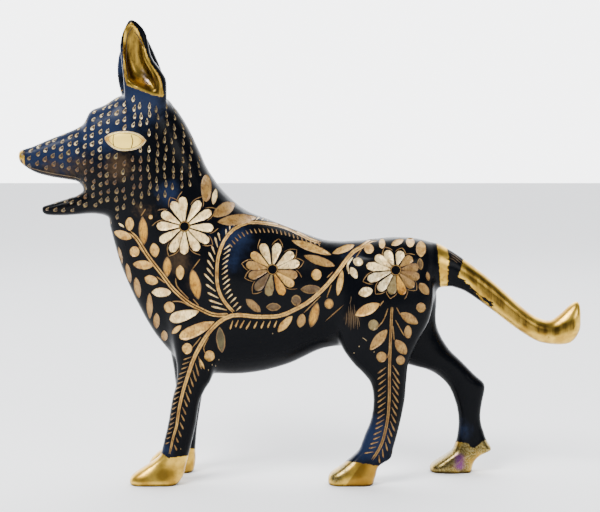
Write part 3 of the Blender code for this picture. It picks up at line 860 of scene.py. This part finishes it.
# the lines through the middle of the head and of the lower jaw, which the rows go round
HEAD_HEART = [(24, 157), (50, 158), (85, 156), (105, 152), (135, 150), (155, 158), (175, 172), (205, 190)]
JAW_HEART = [(50, 208), (70, 204), (90, 200)]
PUNCHED = [
    (15, 160), (20, 140), (60, 125), (95, 85), (110, 80), (121, 92.5), (128, 95), (150, 100), (164, 103),
    (175, 98), (212, 160), (206, 170), (199, 176), (196, 188), (178, 191), (160, 197), (145, 202), (128, 209),
    (114, 224), (95, 212), (60, 213), (38, 214), (15, 190),
]
EYE_CLEAR = 3.6
PUNCH_APART = 6.4
UNDER_JAW = (-0.45, 112)  # no marks where the surface looks down more than this, up to this column
DROP = [  # place along the drop, half width, depth in mm
    (-1.0, 0.30, 0.10), (-0.75, 0.78, 0.20), (-0.35, 1.0, 0.30), (0.1, 0.82, 0.40), (0.55, 0.45, 0.34),
    (1.0, 0.12, 0.06),
]
DROP_FLOOR = (0.55, 0.85)  # the flat floor's share of the width, and of the depth
FACE_DROP, NECK_DROP = (2.55, 3.1), (1.7, 3.7)  # half width and half length
PUNCH_STRAY = 0.8  # squares
TIP_STRAY = 0.08
DROP_LEAST, DROP_MOST, DROP_MM = 0.88, 1.1, 0.001
CHEEK, NECK = 105, 150  # the columns between which the drops grow slender
BROW_ROW, BROW_COLUMN = 152, 156  # above and before these the drops are pale
RUSTY_ROWS, RUSTY_COLUMN, RUSTY_SHARE = (158, 196), 146, 0.65
PIT_FROM, PIT_TO = 2, 4  # the stretch of a drop with a dark floor, a painted shadow in its deeper, upper part
PUNCH_SEED = 11

rings, given, result = new_tree(
    "punch_rows",
    {"Casting": "Object", "Pitch": "Float", "Rays": "Int", "Start": "Float", "Reach": "Float",
     "Material": "Material"},
)
hearts = store(rings, given["Geometry"], "heart", step(rings, "GeometryNodeInputPosition")[0], "FLOAT_VECTOR")
hearts = store(rings, hearts, "row", step(rings, "GeometryNodeInputIndex")[0])
small = {"Resolution": given["Rays"], "Radius": given["Start"]}
small = step(rings, "GeometryNodeCurvePrimitiveCircle", small)["Curve"]
upright = step(rings, "FunctionNodeAxisAngleToRotation", {"Axis": (0.0, 1.0, 0.0), "Angle": -math.pi / 2})[0]
loops = {"Points": hearts, "Instance": small, "Rotation": upright}
loops = step(rings, "GeometryNodeInstanceOnPoints", loops)["Instances"]
loops = step(rings, "GeometryNodeRealizeInstances", {"Geometry": loops})["Geometry"]
heart = named(rings, "heart", "FLOAT_VECTOR")
casting_info = step(rings, "GeometryNodeObjectInfo", {"Object": given["Casting"]})
struck = step(
    rings, "GeometryNodeRaycast",
    {"Target Geometry": casting_info["Geometry"], "Attribute": named(rings, "smooth_normal", "FLOAT_VECTOR"),
     "Source Position": heart,
     "Ray Direction": vector_of(rings, "SUBTRACT", step(rings, "GeometryNodeInputPosition")[0], heart),
     "Ray Length": given["Reach"]},
    data_type="FLOAT_VECTOR",
)
loops = store(rings, loops, "facing", struck["Attribute"], "FLOAT_VECTOR")
loops = {"Geometry": loops, "Position": struck["Hit Position"]}
loops = step(rings, "GeometryNodeSetPosition", loops)["Geometry"]
loops = {"Curve": loops, "Length": math_of(rings, "MULTIPLY", given["Pitch"], 0.5)}
loops = step(rings, "GeometryNodeResampleCurve", loops, mode="LENGTH")["Curve"]
place_in_row = step(rings, "GeometryNodeSplineParameter")["Index"]
odd = math_of(rings, "FLOORED_MODULO", math_of(rings, "ADD", place_in_row, named(rings, "row")), 2.0)
loops = {"Geometry": loops, "Selection": math_of(rings, "GREATER_THAN", odd, 0.5)}
loops = step(rings, "GeometryNodeDeleteGeometry", loops, domain="POINT")["Geometry"]
coat(rings, step(rings, "GeometryNodeCurveToMesh", {"Curve": loops})["Mesh"])

punches, given, result = new_tree("punch_marks", {"Drop": "Object", "Material": "Material"})
drop_info = step(punches, "GeometryNodeObjectInfo", {"Object": given["Drop"]})
turned = step(
    punches, "FunctionNodeAxesToRotation",
    {"Primary Axis": named(punches, "facing", "FLOAT_VECTOR"),
     "Secondary Axis": named(punches, "tip", "FLOAT_VECTOR")},
    primary_axis="Z", secondary_axis="Y",
)[0]
struck = step(
    punches, "GeometryNodeInstanceOnPoints",
    {"Points": given["Geometry"], "Instance": drop_info["Geometry"], "Rotation": turned,
     "Scale": named(punches, "size", "FLOAT_VECTOR")},
)["Instances"]
coat(punches, struck)


def inside(points, polygon):
    """How far each point lies inside a polygon, in squares; less than nothing is outside."""
    polygon = np.asarray(polygon, float)
    following = np.roll(polygon, -1, axis=0)
    nearest = np.full(len(points), 1e9)
    within = np.zeros(len(points), bool)
    for a, b in zip(polygon, following):
        way = b - a
        t = np.clip(((points - a) @ way) / (way @ way), 0, 1)
        nearest = np.minimum(nearest, np.linalg.norm(points - a - t[:, None] * way, axis=1))
        crosses = (a[1] > points[:, 1]) != (b[1] > points[:, 1])
        if way[1]:
            within ^= crosses & (points[:, 0] < a[0] + (points[:, 1] - a[1]) * way[0] / way[1])
    return np.where(within, nearest, -nearest)


def seen(points, side):
    """Where points show on the paper, seen from one side."""
    near = EYE_BACK / (EYE_BACK - side * points[:, 1])
    columns = EYE_COLUMN + (points[:, 0] - EYE_ACROSS) / SQUARE * near
    rows = EYE_ROW - (points[:, 2] - EYE_UP) / SQUARE * near
    return np.stack([columns, rows], 1)


def drop_mesh():
    """A drop of half width 1 and half length 1 in plan, in mm in depth, with its point at +Y."""
    bm = bmesh.new()
    sections = []
    for y, w, d in DROP:
        floor_half, floor_deep = DROP_FLOOR[0] * w, -DROP_FLOOR[1] * d
        outline = [
            (-w, MARK_CLEAR), (w, MARK_CLEAR), (w, MARK_LIP), (floor_half, floor_deep),
            (-floor_half, floor_deep), (-w, MARK_LIP),
        ]
        sections.append([bm.verts.new((x, y, z)) for x, z in outline])
    pit = bm.faces.layers.float.new("pit")
    for number, (one, other) in enumerate(zip(sections, sections[1:])):
        for i in range(len(one)):
            j = (i + 1) % len(one)
            face = bm.faces.new((one[i], one[j], other[j], other[i]))
            # the floor's upper stretch is marked for the painted shadow
            face[pit] = float(i == 3 and PIT_FROM <= number < PIT_TO)
    bm.faces.new(sections[0])
    bm.faces.new(sections[-1])
    bmesh.ops.recalc_face_normals(bm, faces=bm.faces)
    mesh = bpy.data.meshes.new("drop")
    bm.to_mesh(mesh)
    bm.free()
    return mesh


rng = np.random.default_rng(PUNCH_SEED)
spots, facings = [], []
for heart_line in (HEAD_HEART, JAW_HEART):
    columns = np.arange(heart_line[0][0], heart_line[-1][0], ROW_STEP)
    line = np.stack([columns, np.interp(columns, *np.array(heart_line, float).T)], 1)
    rows_of_spots = run_tree(
        rings, paper_mesh("hearts", [line]),
        {"Casting": dog, "Pitch": PUNCH_PITCH * SQUARE, "Rays": RING_RAYS, "Start": RING_START,
         "Reach": RAY_LENGTH, "Material": chiselled},
    )
    spots.append(read(rows_of_spots.vertices, "co", 3))
    facings.append(read(rows_of_spots.attributes["facing"].data, "vector", 3))
spots, facings = np.vstack(spots), np.vstack(facings)
own = np.where(spots[:, 1:2] < 0, seen(spots, LEFT), seen(spots, RIGHT))
under_jaw = (facings[:, 2] < UNDER_JAW[0]) & (own[:, 0] < UNDER_JAW[1])
good = (inside(own, PUNCHED) > 0) & (inside(own, ALMOND) < -EYE_CLEAR) & ~under_jaw
spots, facings, own = spots[good], facings[good], own[good]
chosen = []
for i, spot in enumerate(spots):
    if not chosen or (np.linalg.norm(spots[chosen] - spot, axis=1) > PUNCH_APART * SQUARE).all():
        chosen.append(i)
spots, facings, own = spots[chosen], facings[chosen], own[chosen]
stray = rng.normal(0, PUNCH_STRAY * SQUARE, spots.shape)
spots += stray - (stray * facings).sum(axis=1)[:, None] * facings
count = len(spots)
slender = np.clip((own[:, 0] - CHEEK) / (NECK - CHEEK), 0, 1)[:, None]
tips = np.array((0.0, 0.0, 1.0)) + (1 - slender) * (0.5, 0, 0) + rng.normal(0, TIP_STRAY, (count, 3))
sizes = np.array(FACE_DROP) * (1 - slender) + np.array(NECK_DROP) * slender
sizes = sizes * SQUARE * rng.uniform(DROP_LEAST, DROP_MOST, (count, 1))
sizes = np.hstack([sizes, np.full((count, 1), DROP_MM)])
punch_tones = np.where((own[:, 1] < BROW_ROW) & (own[:, 0] < BROW_COLUMN), float(PALE), float(DIM))
rusty = (own[:, 1] > RUSTY_ROWS[0]) & (own[:, 1] < RUSTY_ROWS[1]) & (own[:, 0] < RUSTY_COLUMN)
rusty &= rng.random(count) < RUSTY_SHARE
punch_tones[rusty] = float(RUST)
sheet = bpy.data.meshes.new("spots")
sheet.from_pydata(spots.tolist(), [], [])
for label, values in (("facing", facings), ("tip", tips), ("size", sizes)):
    sheet.attributes.new(label, "FLOAT_VECTOR", "POINT").data.foreach_set("vector", values.ravel())
sheet.attributes.new("tone", "FLOAT", "POINT").data.foreach_set("value", punch_tones)
drop = bpy.data.objects.new("drop", drop_mesh())
scene.collection.objects.link(drop)
add_cutter(run_tree(punches, sheet, {"Drop": drop, "Material": chiselled}))
bpy.data.objects.remove(drop)

# ---------------------------------------------------------------------------------------------
# The cutting: all the marks are taken out of the casting, one set after the other.
# The walls and the floor of a mark keep the tone of brass that was noted for it.
for number, cutter in enumerate(cutters):
    cut = dog.modifiers.new(f"cut_{number}", "BOOLEAN")
    cut.operation = "DIFFERENCE"
    cut.solver = "MANIFOLD"
    cut.material_mode = "TRANSFER"
    cut.object = cutter
apply_modifiers(dog)
for cutter in cutters:
    bpy.data.objects.remove(cutter)
bm = bmesh.new()
bm.from_mesh(dog.data)
bmesh.ops.triangulate(bm, faces=bm.faces)
bm.to_mesh(dog.data)
bm.free()

# ---------------------------------------------------------------------------------------------
# The finish: black lacquer with a navy cast, brushed on and rubbed off where the brass is left bare.
# Bare are the paws, the tail and its band, the hollows and rims of the ears, the eyes and the nose.
LACQUER_BLACK, LACQUER_NAVY, LACQUER_BROWN = "050609", "182136", "33271B"
LACQUER_GLOSS = 0.055
LACQUER_ROUGH, BRASS_ROUGH, CUT_ROUGH = 0.24, 0.30, (0.28, 0.46)
BRASS_METALLIC, EYE_METALLIC, CUT_METALLIC = 0.95, 0.12, 0.38
EDGE_WOBBLE, EDGE_SOFT = 3.0, 0.6  # squares, along the edge of the lacquer
EDGE_AND_SHADE_DEPTH = 0.26  # mm down to which a cut's wall is darkened: the lacquer's dark edge, and below it a painted shadow line
BUMP_DEEP = 0.0003  # m
STAIN_VIOLET = "6B2C74"
CUT_DARK, CUT_STAIN = "3E2A14", "AC8E58"
BRASS_OLIVE, BRASS_DARK, EYE_GOLD = "7E6428", "2A1D0C", "FFDA6A"
BRASS_BRIGHT, BRASS_DEEP, BRASS_STAIN = "DDB348", "A47D2C", "3A3218"
EAR_MOUTH = [
    (126, 29), (124.5, 50), (125.5, 70), (127.4, 83.8), (140, 88.4), (152, 93), (162.5, 95.5), (161.2, 88),
    (158.8, 78), (154.2, 71), (149, 63.5), (145.8, 55), (142.6, 46), (140, 39), (136.4, 31), (131.5, 24),
]
FAR_EAR_LEFT = -6  # the far ear's mouth lies this much nearer the nose
TAIL_BAND = [
    (436.5, 240), (437.4, 247), (438.4, 255.6), (440.8, 290), (447.2, 290), (448.4, 268), (449.4, 260),
    (447.5, 251.8), (447, 240),
]
TAIL_BARE = [
    (463.5, 255), (462.3, 264.7), (458.5, 275.2), (459, 281), (464, 281.5), (469, 285.8), (472.4, 292),
    (477, 293), (481, 300), (495, 312), (520, 350), (600, 350), (600, 250), (463.5, 240),
]
# the dark band along the tail is a painted reflection of the dim room, laid into the brass's colour
TAIL_SHADE = [
    (459, 263), (470, 267), (490, 281), (505, 295), (520, 311), (535, 322), (556, 326), (575, 317), (577, 330),
    (556, 337), (535, 333), (518, 324), (500, 309), (484, 295), (470, 282), (459, 275),
]
# patches of wear and colour, each as column, row and radius in squares, and a strength after that
LACQUER_LEFT = [
    (463.5, 281.2, 2.8), (468.2, 286, 2.4), (472.5, 291, 2.0), (477, 294.6, 1.6), (486, 299.8, 2.0),
    (491, 304, 2.6), (483, 297.4, 1.2),
]
MILKY_STAIN = [(142.4, 70, 2.6, 0.7), (144.2, 75.5, 3.2, 0.85), (147, 81.5, 3.8, 1.0)]
STAIN_MILKY = "8F7F80"
VIOLET_STAIN = [(459.5, 458.5, 6, 1.0), (459.8, 465, 6, 1.0)]
ROUGH_NEAR = [(336, 477, 8, 0.9), (344, 469, 7, 0.9), (351, 463, 5, 0.8)]
ROUGH_FAR = [(452, 456, 15, 1), (468, 450, 12, 1), (443, 466, 15, 1), (484, 446, 10, 1), (462, 466, 11, 0.9)]
AMBER_FACET = [(362, 463), (379, 466), (374, 484), (370, 496), (343, 489)]
BRASS_AMBER, BRASS_SCALE, EYE_CORNER = "8C6420", "857B54", "A8702E"
EYE_CORNERS = (12.0, 19.0)  # squares from the eye's middle, between which its corners darken
SOLE_DARK, SOLE_RAGGED = (0.0004, 0.0016), 0.0012  # m, the heights between which the soles' darkening towards the floor ends
NEAR_FORE_PAW = [(120, 452), (161.7, 453.3), (168.3, 458.3), (193.3, 455), (215, 452), (215, 520), (120, 520)]
NEAR_HIND_PAW = [(310, 458), (351.7, 461.7), (377.3, 466), (400, 466), (400, 520), (310, 520)]
FAR_FORE_PAW = [(140, 440), (178, 447), (205, 450), (225, 452), (225, 520), (140, 520)]
FAR_HIND_PAW = [
    (420, 452), (456.7, 441.7), (468.3, 443.3), (471.7, 450), (485, 440), (510, 436), (510, 520), (420, 520),
]
NOSE = [(0, 140), (22.8, 149), (24.7, 163), (24, 175), (0, 175)]
NAVY_PATCHES = [
    (58, 143, 30, 0.95), (34, 155, 14, 0.9), (100, 118, 40, 1.0), (140, 100, 28, 0.9), (168, 192, 14, 0.8),
    (236, 240, 18, 0.75), (232, 262, 12, 0.6), (352, 255, 14, 0.5), (208, 240, 12, 0.35), (118, 60, 16, 0.9),
    (368, 440, 26, 0.9), (163, 448, 13, 0.6), (466, 436, 14, 0.5),
]
WORN_PATCHES = [
    (118, 166, 16, 0.9), (80, 166, 16, 0.55), (139, 211, 7, 1.0), (352, 318, 9, 0.8), (455, 257, 7, 0.4),
    (66, 205, 12, 0.3), (52, 169, 12, 0.7), (70, 173, 10, 0.6), (178, 262, 14, 0.85), (168, 238, 10, 0.55),
    (194, 284, 10, 0.6), (150, 213, 9, 0.6),
]
OUTSIDE = -30.0  # squares
EAR_SPREAD, EAR_TURN = 1.5, (0.25, 6)  # the brass comes over the ear's rim, but only where it faces outwards
EAR_FALL = 3  # squares over which the ear's hollow grows dull
TAIL_TOP = 0.8  # above this upward turn the tail has no painted dark reflection
SHADE_EVEN, SHADE_FALL = 0.45, 5  # how dark the edge of the painted reflection band is, and the squares over which it grows


def gather(place, patches):
    total = np.zeros(len(place))
    for x, y, radius, strength in patches:
        total = np.maximum(total, strength * np.exp(-(((place - (x, y)) ** 2).sum(axis=1)) / radius**2))
    return total


points = read(dog.data.vertices, "co", 3)
normals, sunk = polish_normals(points)
on_left = points[:, 1] < 0
own = np.where(on_left[:, None], seen(points, LEFT), seen(points, RIGHT))
from_left = seen(points, LEFT)
outward = np.where(on_left, -1, 1) * normals[:, 1]
ear_place = own - np.where(on_left, 0, FAR_EAR_LEFT)[:, None] * np.array((1, 0))
bare = np.full(len(points), OUTSIDE)
for polygon, place in ((TAIL_BAND, own), (TAIL_BARE, own), (NOSE, own), (ALMOND, own)):
    bare = np.maximum(bare, inside(place, polygon))
ear = np.minimum(inside(ear_place, EAR_MOUTH) + EAR_SPREAD, (outward + EAR_TURN[0]) * EAR_TURN[1])
bare = np.maximum(bare, ear)
for polygon, mine in (
    (NEAR_FORE_PAW, on_left), (NEAR_HIND_PAW, on_left), (FAR_FORE_PAW, ~on_left), (FAR_HIND_PAW, ~on_left)
):
    bare = np.where(mine, np.maximum(bare, inside(from_left, polygon)), bare)
for x, y, radius in LACQUER_LEFT:
    bare = np.minimum(bare, (np.linalg.norm(own - (x, y), axis=1) - radius) * 2)
# painted reflection: the tail darkens in a band, except where it faces upwards
tail_shade = np.where(normals[:, 2] < TAIL_TOP, inside(own, TAIL_SHADE), -9)
shades = {
    "bare": bare, "navy": gather(own, NAVY_PATCHES), "worn": gather(own, WORN_PATCHES),
    "eye": inside(own, ALMOND), "dull": np.maximum(ear / EAR_FALL, tail_shade / SHADE_FALL + SHADE_EVEN),
    "sunk": sunk * 1000,
    "violet": np.where(on_left, 0, gather(from_left, VIOLET_STAIN)),
    "milky": gather(own, MILKY_STAIN) * on_left,
    "rough": np.where(on_left, gather(from_left, ROUGH_NEAR), gather(from_left, ROUGH_FAR)),
    "amber": np.where(on_left, inside(from_left, AMBER_FACET), -9),
    "corner": np.abs(own[:, 0] - EYE_MIDDLE[0]),
}
for name, values in shades.items():
    values = np.clip(values, OUTSIDE, -OUTSIDE)
    dog.data.attributes.new(name, "FLOAT", "POINT").data.foreach_set("value", values)
tones = np.round(read(dog.data.attributes["tone"].data, "value", 1)).astype(int)
cuts = np.array([linear(code) for code in TONES])[np.clip(tones, 0, len(TONES) - 1)]
dog.data.attributes.new("cut_colour", "FLOAT_COLOR", "FACE").data.foreach_set("color", cuts.ravel())
for spent in ("tone", "smooth_normal"):
    dog.data.attributes.remove(dog.data.attributes[spent])


def shader_of(material):
    material.use_nodes = True
    return material.node_tree, material.node_tree.nodes["Principled BSDF"]


def noise(tree, scale, detail=3.0, rough=0.5, stretch=(1, 1, 1)):
    """An uneven pattern fixed to the dog. scale is in patches to the metre."""
    place = step(tree, "ShaderNodeTexCoord")["Object"]
    turned = step(tree, "ShaderNodeMapping", {"Vector": place, "Scale": stretch})[0]
    wires = {"Vector": turned, "Scale": scale, "Detail": detail, "Roughness": rough}
    return step(tree, "ShaderNodeTexNoise", wires)["Fac"]


def reading(tree, name, key="Fac"):
    return step(tree, "ShaderNodeAttribute", attribute_name=name)[key]


def ragged(tree, value, pattern, share):
    """A value broken up by a pattern, so that the patch it makes has a ragged edge."""
    return math_of(tree, "ADD", value, math_of(tree, "MULTIPLY", pattern, share))


tree, shader = shader_of(lacquered)
wobble = math_of(tree, "SUBTRACT", noise(tree, 900, 4, 0.6), 0.5)
bare_share = ramp(tree, ragged(tree, reading(tree, "bare"), wobble, EDGE_WOBBLE), -EDGE_SOFT, EDGE_SOFT)
navy = ramp(tree, ragged(tree, reading(tree, "navy"), noise(tree, 180, 5, 0.7), 0.9), 0.6, 1.25)
lacquer = blend(tree, navy, linear(LACQUER_BLACK), linear(LACQUER_NAVY))
worn = ramp(tree, ragged(tree, reading(tree, "worn"), noise(tree, 700), 0.8), 0.6, 1.3)
lacquer = blend(tree, worn, lacquer, linear(LACQUER_BROWN))
brass = blend(tree, ramp(tree, noise(tree, 160, 4), 0.35, 0.65), linear(BRASS_DEEP), linear(BRASS_BRIGHT))
brass = blend(tree, ramp(tree, noise(tree, 300, 5, 0.7), 0.6, 0.75, 0.0, 0.6), brass, linear(BRASS_STAIN))
mottle = ramp(tree, noise(tree, 1500, 4, 0.75), 0.42, 0.58)
mottled = blend(tree, mottle, linear(BRASS_STAIN), linear(BRASS_SCALE))
streaks = ramp(tree, noise(tree, 260, 4, 0.6, (1, 1, 0.12)), 0.36, 0.62)
tarnish_and_reflection_colour = blend(tree, streaks, linear(BRASS_DARK), linear(BRASS_OLIVE))
for name, low, high, most, colour in (
    # attribute, where the colour starts and is full, how much of it there is, the colour
    ("amber", -0.6, 0.9, 0.8, linear(BRASS_AMBER)),
    ("rough", 0.2, 0.75, 0.85, mottled),
    ("violet", 0.2, 0.9, 0.8, linear(STAIN_VIOLET)),
    # the ear hollow's tarnish, and the tail's painted dark reflection band
    ("dull", 0.0, 1.0, 0.92, tarnish_and_reflection_colour),
):
    brass = blend(tree, ramp(tree, reading(tree, name), low, high, 0.0, most), brass, colour)
cloudy = ramp(tree, noise(tree, 700, 4, 0.7), 0.35, 0.6, 0.45, 1.0)
milky = math_of(tree, "MULTIPLY", reading(tree, "milky"), cloudy)
brass = blend(tree, ramp(tree, milky, 0.15, 0.95, 0.0, 0.6), brass, linear(STAIN_MILKY))
# the paws' brass grows darker towards the floor
height = step(tree, "ShaderNodeSeparateXYZ", {"Vector": step(tree, "ShaderNodeTexCoord")["Object"]})["Z"]
height = ragged(tree, height, noise(tree, 500, 4, 0.7), SOLE_RAGGED)
darker_near_floor = ramp(tree, height, SOLE_DARK[0] + SOLE_RAGGED / 2, SOLE_DARK[1] + SOLE_RAGGED / 2, 0.85, 0.0)
brass = blend(tree, darker_near_floor, brass, linear(BRASS_DARK))
corner = ramp(tree, reading(tree, "corner"), *EYE_CORNERS, 0.0, 0.9)
eye_colour = blend(tree, corner, linear(EYE_GOLD), linear(EYE_CORNER))
brass = blend(tree, ramp(tree, reading(tree, "eye"), -0.5, 0.5), brass, eye_colour)
tree.links.new(blend(tree, bare_share, lacquer, brass), shader.inputs["Base Color"])
metal = ramp(tree, reading(tree, "eye"), -0.5, 0.5, BRASS_METALLIC, EYE_METALLIC)
tree.links.new(math_of(tree, "MULTIPLY", bare_share, metal), shader.inputs["Metallic"])
tree.links.new(ramp(tree, bare_share, 0.0, 1.0, LACQUER_ROUGH, BRASS_ROUGH), shader.inputs["Roughness"])
shader.inputs["Specular IOR Level"].default_value = LACQUER_GLOSS
bump = {"Height": noise(tree, 500, 3), "Strength": 0.12, "Distance": BUMP_DEEP}
tree.links.new(step(tree, "ShaderNodeBump", bump)[0], shader.inputs["Normal"])

tree, shader = shader_of(chiselled)
cut_colour = reading(tree, "cut_colour", "Color")
patches = ramp(tree, noise(tree, 300, 5, 0.7), 0.42, 0.66, 0.0, 0.75)
cut_colour = blend(tree, patches, cut_colour, blend(tree, 1.0, cut_colour, linear(CUT_STAIN), "MULTIPLY"))
streaks = ramp(tree, noise(tree, 1600, 3, 0.7, (1, 1, 0.3)), 0.5, 0.7, 0.0, 0.7)
cut_colour = blend(tree, streaks, cut_colour, linear(CUT_DARK))
# painted shade: each cut's walls darken towards its edge, as the lacquer's edge and the shadow below it
edge_and_painted_shade = ramp(tree, reading(tree, "sunk"), 0.0, EDGE_AND_SHADE_DEPTH, 0.9, 0.0)
tree.links.new(blend(tree, edge_and_painted_shade, cut_colour, linear(CUT_DARK)), shader.inputs["Base Color"])
shader.inputs["Metallic"].default_value = CUT_METALLIC
tree.links.new(ramp(tree, noise(tree, 800), 0.3, 0.7, *CUT_ROUGH), shader.inputs["Roughness"])
chatter = ragged(tree, noise(tree, 1300, 2), noise(tree, 420, 2), 1.6)
bump = {"Height": chatter, "Strength": 0.8, "Distance": BUMP_DEEP}
tree.links.new(step(tree, "ShaderNodeBump", bump)[0], shader.inputs["Normal"])

# The lacquer keeps the polished surface's sheen right up to each cut, and each cut has a crisp edge.
slots = read(dog.data.polygons, "material_index", 1).astype(int)
dog.data.shade_smooth()
bm = bmesh.new()
bm.from_mesh(dog.data)
for line in bm.edges:
    faces = line.link_faces
    if len(faces) == 2 and faces[0].material_index != faces[1].material_index:
        line.smooth = False
bm.to_mesh(dog.data)
bm.free()
corner_normals = read(dog.data.corner_normals, "vector", 3)
corner_points = read(dog.data.loops, "vertex_index", 1).astype(int)
of_lacquer = np.repeat(slots == 0, 3)
corner_normals[of_lacquer] = normals[corner_points[of_lacquer]]
dog.data.normals_split_custom_set(corner_normals.tolist())

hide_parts("brass_dog")
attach(dog, "root")
